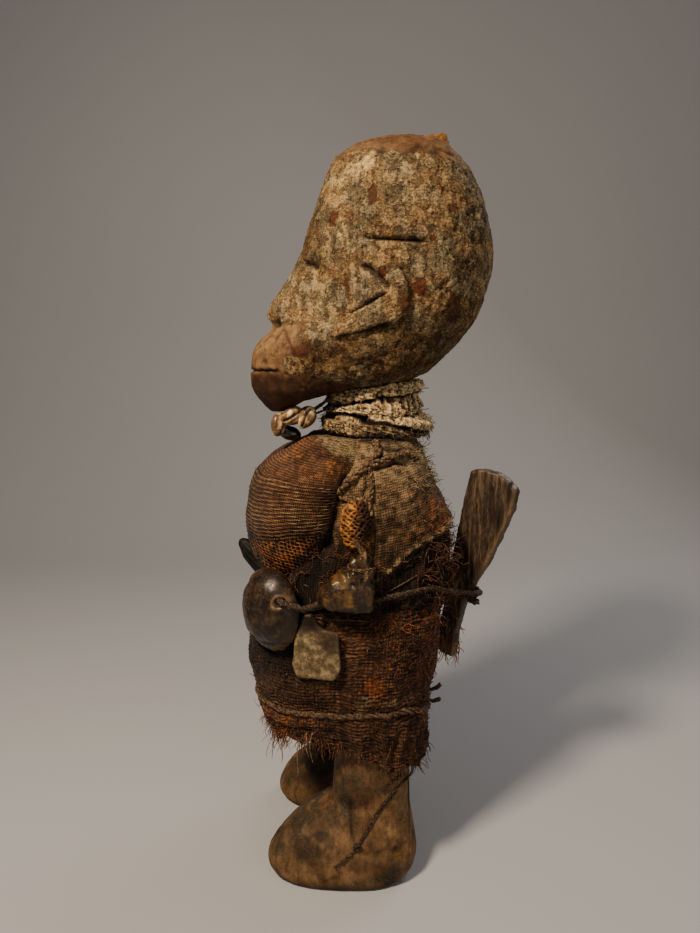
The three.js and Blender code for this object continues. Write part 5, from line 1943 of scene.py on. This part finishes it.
@dataclass
class HipPouch(Charm):
    """A small pouch of greased hide, tied at its neck, ridged and shiny."""

    finish: Glazed = Glazed(
        "greased_hide", "#130c05", "#2c1d0d", "#523c20", 6, (0.24, 0.5), 0.08, patch="#74552b", shine=0.3
    )
    levels: Levels = Levels(
        [
            (210, -14, 14.2, 7.5), (212, -19, 15.4, 10.5), (217, -22, 15.7, 12.3),
            (223, -20.5, 15.7, 12.3), (230.5, -13, 15.4, 10.5), (238, -3, 15, 8), (245.6, 1.4, 14.5, 5.6),
        ],
        2.2, 2.6, middle=69.5, softness=2,
    )

    def build(self) -> Skin:
        """Gathers the pouch into ridges below its neck, with painted shade in the folds, the valley, under
        the tie and at its bottom.
        """
        skin, _, _ = self.levels.body("pouch_hide", 106, 80, 0.1)
        x, y, z = skin.points.T
        ridges = np.sin((y * 0.95 + 0.35 * z) * 0.75 + 1.6 * skin.clouds(12, 2, 110))
        neck = ease(z, 220, 238)
        lumps = 1.1 * skin.clouds(10, 3, 111) + 0.3 * skin.clouds(3, 3, 112)
        valley = groove(y, z, [(-3, 213), (-2, 222), (2, 233)], 2.2) * (x > 69)
        tied = bell(z - 239, 2.2)
        skin.push(lumps + 0.6 * ridges * (0.3 + neck) - 1.3 * valley - 0.8 * tied)
        band = ease(y, 9, 11.5) * ease(skin.clouds(6, 3, 114), -0.4, 0.2)
        amber = blotch(skin.points, (-1.5, 219), (3, 6), 113)
        bloom = blotch(skin.points, (-6, 232), (6, 5), 115)
        # painted shade in the ridges' troughs, the valley, under the tie and at the bottom
        dark = 0.5 * ease(-ridges, 0.3, 1) * neck + 0.5 * (1 - ease(z, 211, 216)) + 0.6 * valley + 0.4 * tied
        patch = np.maximum.reduce([0.45 * band, 0.9 * amber, 0.45 * bloom])
        return self.dress(skin, "greased_hide", "hip_pouch", patch=patch, dark=dark)


@dataclass
class DarkHorn(Charm):
    """A dark horn tip that stands out in front, above the shell, coloured near-black as painted shade as
    well.
    """

    # near-black colours: the horn's own dark, drawn darker as painted shade
    finish: Glazed = Glazed(
        "dark_horn", "#060404", "#0f0b09", "#1f1915", 5, (0.5, 0.7), 0.0, (1, 3, 3), shine=0.15
    )
    path: tuple[Point, ...] = (
        (-31, -87.5, 229), (-30, -81, 223), (-27, -72, 214), (-22, -61, 206), (-16, -49, 201),
    )
    radii: tuple[float, ...] = (4.2, 7.6, 8.8, 9.6, 9.6)

    def build(self) -> Skin:
        """Bends a ball along the horn's path and grooves it lengthwise."""
        line = curve_through(self.path, 0.5)
        across, other = side_frames(line)
        radii = np.interp(np.linspace(0, len(self.path) - 1, len(line)), range(len(self.path)), self.radii)
        skin, turn, share = ball("horn_tip", 56, 60)
        at = share * (len(line) - 1)
        steps = np.arange(len(line))
        spot, side, up = (read_along(way, steps, at) for way in (line, across, other))
        thick = np.interp(at, steps, radii) * np.sqrt(np.clip(1 - (2 * share - 1) ** 8, 0, 1))
        thick = thick * (1 + 0.03 * np.sin(turn * 9 + share * 4))
        offset = np.cos(turn)[:, None] * side + np.sin(turn)[:, None] * up
        skin.points = spot + offset * thick[:, None]
        skin.write()
        skin.push(0.35 * skin.clouds(5, 3, 120))
        return self.dress(skin, "dark_horn", "dark_horn")


@dataclass
class NetLump(Charm):
    """A wad of orange raffia netting tied against the side."""

    finish: Glazed = Glazed(
        "raffia_net", "#200e05", "#4c2b12", "#7d4f22", 2, (0.5, 0.8), relief=0.4, patch="#b0732f", shine=0.2
    )
    levels: Levels = Levels(
        [
            (246.5, 1, 11.5, 5), (251, -3, 13, 8), (259, -5.6, 13.4, 9.5), (268, -6.2, 13, 9.5),
            (275, -4, 11, 7.5), (279, 0, 7.5, 3.5),
        ],
        middle=59, softness=2,
    )

    def build(self) -> Skin:
        """Bulges the wad between the threads of its net, with painted light on the threads and painted shade
        in the holes and on the back side.
        """
        skin, _, _ = self.levels.body("net_wad", 112, 88, 0.1)
        _, y, z = skin.points.T
        slant = 1.6 * skin.clouds(9, 2, 130)
        slant += 1.2 * skin.clouds(4, 3, 133)
        first = np.abs(np.sin((z + 0.65 * y + slant) * math.pi / 3.3))
        second = np.abs(np.sin((0.8 * z - y - slant) * math.pi / 3.5))
        threads = 1 - ease(np.minimum(first, second), 0.4, 0.95)
        skin.push(1.3 * threads - 0.6 + 0.9 * skin.clouds(3.5, 3, 131))
        shaded = ease(y + 4 * skin.clouds(7, 3, 132), 1, 9) * ease(z, 250, 258)
        edge = 1 - ease(z, 247, 251)
        # painted shade in the holes and on the back side, and darker at the bottom
        dark = 0.8 * (1 - threads) + 0.4 * edge + 0.65 * shaded
        # patch is painted light on the threads
        lit = threads * (1 - shaded) * (0.5 + 0.9 * skin.clouds(4, 3, 134))
        return self.dress(skin, "raffia_net", "net_lump", patch=lit, dark=dark)


@dataclass
class Cowrie(Charm):
    """A money cowrie: a glossy cream egg with a toothed slit."""

    finish: Glazed = Glazed(
        "cowrie_shell", "#6d4d2c", "#c8a06a", "#f0d8a8", 4, (0.2, 0.45), 0.1, patch="#3f2512", shine=0.35
    )
    number: int = 1
    place: Point = (0, 0, 0)
    tilt: float = 0.0
    turn: float = 0.0
    size: Point = (4.8, 8.7, 6.5)

    def build(self) -> Skin:
        """Shapes the egg, cuts the slit and puts it in its place."""
        skin, _, _ = ball(f"cowrie_{self.number}_shell", 56, 44)
        place = skin.read("co")
        one = np.ones(len(place))
        width = 1 + 0.16 * place[:, 1] - 0.12 * place[:, 1] ** 2
        local = place * np.array(self.size) * np.stack([one, one, width], 1)
        face = place[:, 0] > 0
        slit_far = np.abs(local[:, 2] - 0.5 * np.sin(local[:, 1] * 0.3))
        slit = np.exp(-((slit_far / 0.9) ** 2)) * face * (1 - ease(np.abs(local[:, 1]), 6.6, 7.8))
        teeth = 0.5 + 0.5 * np.cos(local[:, 1] * math.tau / 1.3)
        lips = bell(slit_far - 1.6, 0.9) * face
        local[:, 0] -= 2.0 * slit - 0.35 * lips * teeth
        lean, turn = self.tilt, self.turn
        y = local[:, 1] * math.cos(lean) - local[:, 2] * math.sin(lean)
        z = local[:, 1] * math.sin(lean) + local[:, 2] * math.cos(lean)
        x = local[:, 0] * math.cos(turn) - y * math.sin(turn)
        y = local[:, 0] * math.sin(turn) + y * math.cos(turn)
        skin.points = np.stack([x, y, z], 1) + np.array(self.place)
        skin.write()
        edge = ease(np.abs(place[:, 2]), 0.45, 0.8)
        dirt = np.maximum(0.8 * ease(skin.clouds(5, 3, 140 + self.number), -0.1, 0.25), 0.9 * edge)
        # painted shade in the slit and between the teeth
        dark = np.maximum(slit, 0.4 * lips * (1 - teeth))
        return self.dress(skin, "cowrie", f"cowrie_{self.number}", patch=dirt, dark=dark)


@dataclass
class BlackPendant(Charm):
    """A glossy black seed under the shells."""

    finish: Glazed = Glazed("black_seed", "#050404", "#0c0908", "#1a1512", 3, (0.15, 0.3), 0.5)
    place: Point = (8, -43.5, 318.6)
    size: Point = (6, 9, 5.2)
    lean: float = -0.35

    def build(self) -> Skin:
        """Shapes the seed."""
        skin, _, _ = ball("pendant_seed", 48, 40)
        local = skin.read("co") * np.array(self.size)
        y = local[:, 1] * math.cos(self.lean) - local[:, 2] * math.sin(self.lean)
        z = local[:, 1] * math.sin(self.lean) + local[:, 2] * math.cos(self.lean)
        skin.points = np.stack([local[:, 0], y, z], 1) + np.array(self.place)
        skin.write()
        skin.push(0.4 * skin.clouds(5, 2, 150))
        return self.dress(skin, "black_seed", "black_pendant")


@dataclass
class HangingPlate(Charm):
    """A thin pale plate of bone, worn and stained, with painted shadow across its top."""

    finish: Glazed = Glazed(
        "weathered_bone", "#3a2f1f", "#655439", "#94835f", 5, (0.4, 0.75),
        relief=0.35, patch="#2a180e", shine=0.3,
    )

    def build(self) -> Skin:
        """Wears the plate's faces and edges."""
        skin = copy_of("hanging_plate", 0.8, 4)
        z = skin.points[:, 2]
        skin.push(0.4 * skin.clouds(8, 3, 160) + 0.15 * skin.clouds(2.5, 3, 161) + 0.1)
        # painted shadow of the pouch above, over the plate's top and upper part
        patch_mask = np.maximum(blotch(skin.points, (-13, 187), (9, 9), 162, 0.5), ease(z, 190, 196))
        veins = ease(skin.clouds(4, 4, 163), 0.1, 0.4)
        return self.dress(skin, "bone_plate", "hanging_plate", patch=np.maximum(0.88 * patch_mask, 0.4 * veins))


@dataclass
class BackSlat(Charm):
    """A slat of wood tied upright behind the waist, grooved lengthwise, with a raised rim that has a painted
    highlight.
    """

    finish: Glazed = Glazed(
        "slat_wood", "#150d07", "#33251a", "#62503a", 3, (0.4, 0.65), 0.05, (1, 1, 9), 0.35, "#6a5238", 0.3
    )
    rim: tuple[tuple[float, float], ...] = (
        (81, 143), (83.5, 166), (87.5, 185), (93, 201), (101, 220), (109.5, 243), (116.5, 265),
        (118.5, 278),
    )

    def build(self) -> Skin:
        """Raises the rim, grooves the face and roughens the foot."""
        skin = copy_of("back_slat", 1.3, 3)
        x, y, z = skin.points.T
        far, _ = line_distance(y, z, self.rim)
        rim = bell(far - 2.4, 1.6) * ease(z, 200, 225)
        trough = bell(far - 6.5, 2.0) * ease(z, 200, 225)
        lean = y - 0.45 * (z - 143) * ease(z, 143, 290)
        grain = clouds(np.stack([x, lean, z * 0.07], 1), 3.0, 3, 170)
        skin.push(0.8 * rim - 0.5 * trough + 0.5 * grain + 0.4 * skin.clouds(14, 2, 171))
        foot = 1 - ease(z + 3 * skin.clouds(4, 2, 172), 150, 160)
        # painted shade in the trough beside the rim, with the grain's own dark
        dark = np.maximum(0.35 * ease(-grain, 0.2, 0.6), 0.5 * trough)
        # painted highlight along the rim; the orange foot is the slat's own colour
        patch = np.maximum(0.75 * rim, 0.7 * foot)
        fibres = Fibre("slat_foot_fibre", "#6a3a1c", "#a5652f", "#1f0f07", 0.7)
        made = self.dress(skin, "slat_wood", "back_slat", patch=patch, dark=dark)
        fray = Fray("slat_foot_fray", "slat_wood", fibres, 110, (3, 12), Growth.HANG, 0.35, curl=0.5)
        fray.grow(skin, z < 168, 20)
        return made


# Studio


@dataclass(frozen=True)
class Studio:
    """A plain pale floor that sweeps up behind, soft lights and the camera at the photograph's angle."""

    eye: Point = (501.3, -15.4, 377.8)  # the camera's place in the frame, in mm
    tilt: float = 9.53  # how far it looks down, in degrees
    lens: float = 27.0
    floor_end: float = 700.0  # where the floor starts to rise behind the figure, in mm
    sweep: float = 500.0  # radius of the rise

    def build(self) -> None:
        """Sets up the floor, the world, the lights and the camera."""
        bpy.ops.object.select_all(action="DESELECT")
        bpy.ops.mesh.primitive_grid_add(x_subdivisions=80, y_subdivisions=8, size=6, location=(-0.6, 0, 0))
        floor = bpy.context.object
        floor.name = "floor"
        bpy.ops.object.transform_apply()
        rise = Skin(floor)
        beyond = np.clip(-rise.points[:, 0] - self.floor_end, 0, None)
        quarter = self.sweep * math.pi / 2
        angle = np.clip(beyond, 0, quarter) / self.sweep
        turned = beyond > 0
        x = -self.floor_end - self.sweep * np.sin(angle)
        rise.points[:, 0] = np.where(turned, x, rise.points[:, 0])
        rise.points[:, 2] = self.sweep * (1 - np.cos(angle)) + np.clip(beyond - quarter, 0, None)
        rise.write()
        floor.data.polygons.foreach_set("use_smooth", [True] * len(floor.data.polygons))
        paper = Recipe("pale_paper", Roughness=0.95, Specular_IOR_Level=0.1)
        floor.data.materials.append(paper.finish(paper.mixed(paper.speckle(400, 2), "#a2a3a6", "#a6a7aa")))
        world = bpy.data.worlds.new("soft_grey")
        world.use_nodes = True
        world.node_tree.nodes["Background"].inputs["Color"].default_value = linear("#aeb2ba")
        world.node_tree.nodes["Background"].inputs["Strength"].default_value = 0.29
        bpy.context.scene.world = world
        self.light("key", (0.5, -0.42, 1.0), 0.15, 18, "#ffe8ca")
        self.light("fill", (0.95, 0.7, 0.45), 0.9, 3.2, "#fff1e0")
        self.light("rim", (-0.55, 0.65, 0.8), 0.5, 4, "#fff6ec")
        data = bpy.data.cameras.new("camera")
        data.lens = self.lens
        data.sensor_width = 36
        data.clip_start = 0.01
        camera = bpy.data.objects.new("camera", data)
        camera.location = [v / 1000 for v in self.eye]
        camera.rotation_euler = (math.radians(90 - self.tilt), 0, math.radians(90))
        bpy.context.scene.collection.objects.link(camera)
        bpy.context.scene.camera = camera

    def light(self, name: str, place: Point, size: float, power: float, color: str) -> None:
        """Adds a square soft light that faces the figure's middle.

        Args:
            name: its name.
            place: where it is, in metres.
            size: width of its face in metres.
            power: its power in watts.
            color: its colour as a hex code.
        """
        data = bpy.data.lights.new(name, "AREA")
        data.size = size
        data.energy = power
        data.color = linear(color)[:3]
        lamp = bpy.data.objects.new(name, data)
        lamp.location = place
        lamp.rotation_euler = (Vector((0, 0, 0.3)) - Vector(place)).to_track_quat("-Z", "Y").to_euler()
        bpy.context.scene.collection.objects.link(lamp)


def main() -> None:
    """Builds the statuette's pieces in order."""
    logging.basicConfig(level=logging.INFO, format="%(message)s")
    Studio().build()
    figure = CarvedFigure().build()
    neck = NeckWrap("neck_wrap", "crusted_cloth", NECK, CRUSTED, 280, 84, 0.9).build()
    chest = ChestBundle("chest_bundle", "corded_cloth", CHEST, CORDED, 310, 184, 0.85, 360).build()
    back = BackBundle("back_bundle", "sacking", BACK, SACKING, 290, 120, 0.85, 340).build()
    waist = WaistWrap("waist_wrap", "dark_cloth", WAIST, SMOKED, 260, 48, 0.85, 380).build()
    skirt_wrap = SkirtWrap("skirt_wrap", "skirt_sacking", SKIRT, STAINED, 430, 170, 0.5, 430)
    skirt = skirt_wrap.build()
    for charm in (BellyShell, HipPouch, DarkHorn, NetLump, BlackPendant, HangingPlate, BackSlat):
        charm().build()
    Cowrie(number=1, place=(13, -50.3, 325.2), tilt=1.25, turn=0.9).build()
    Cowrie(number=2, place=(16, -40.6, 331.4), tilt=0.42, turn=0.1).build()
    Cowrie(number=3, place=(16.5, -30.6, 330.4), tilt=1.05, turn=-0.15).build()
    Lashings(figure, neck, chest, back, waist, skirt, skirt_wrap).build()
    LooseFibres(neck, chest, back, waist, skirt, skirt_wrap).build()


if __name__ == "__main__":
    main()
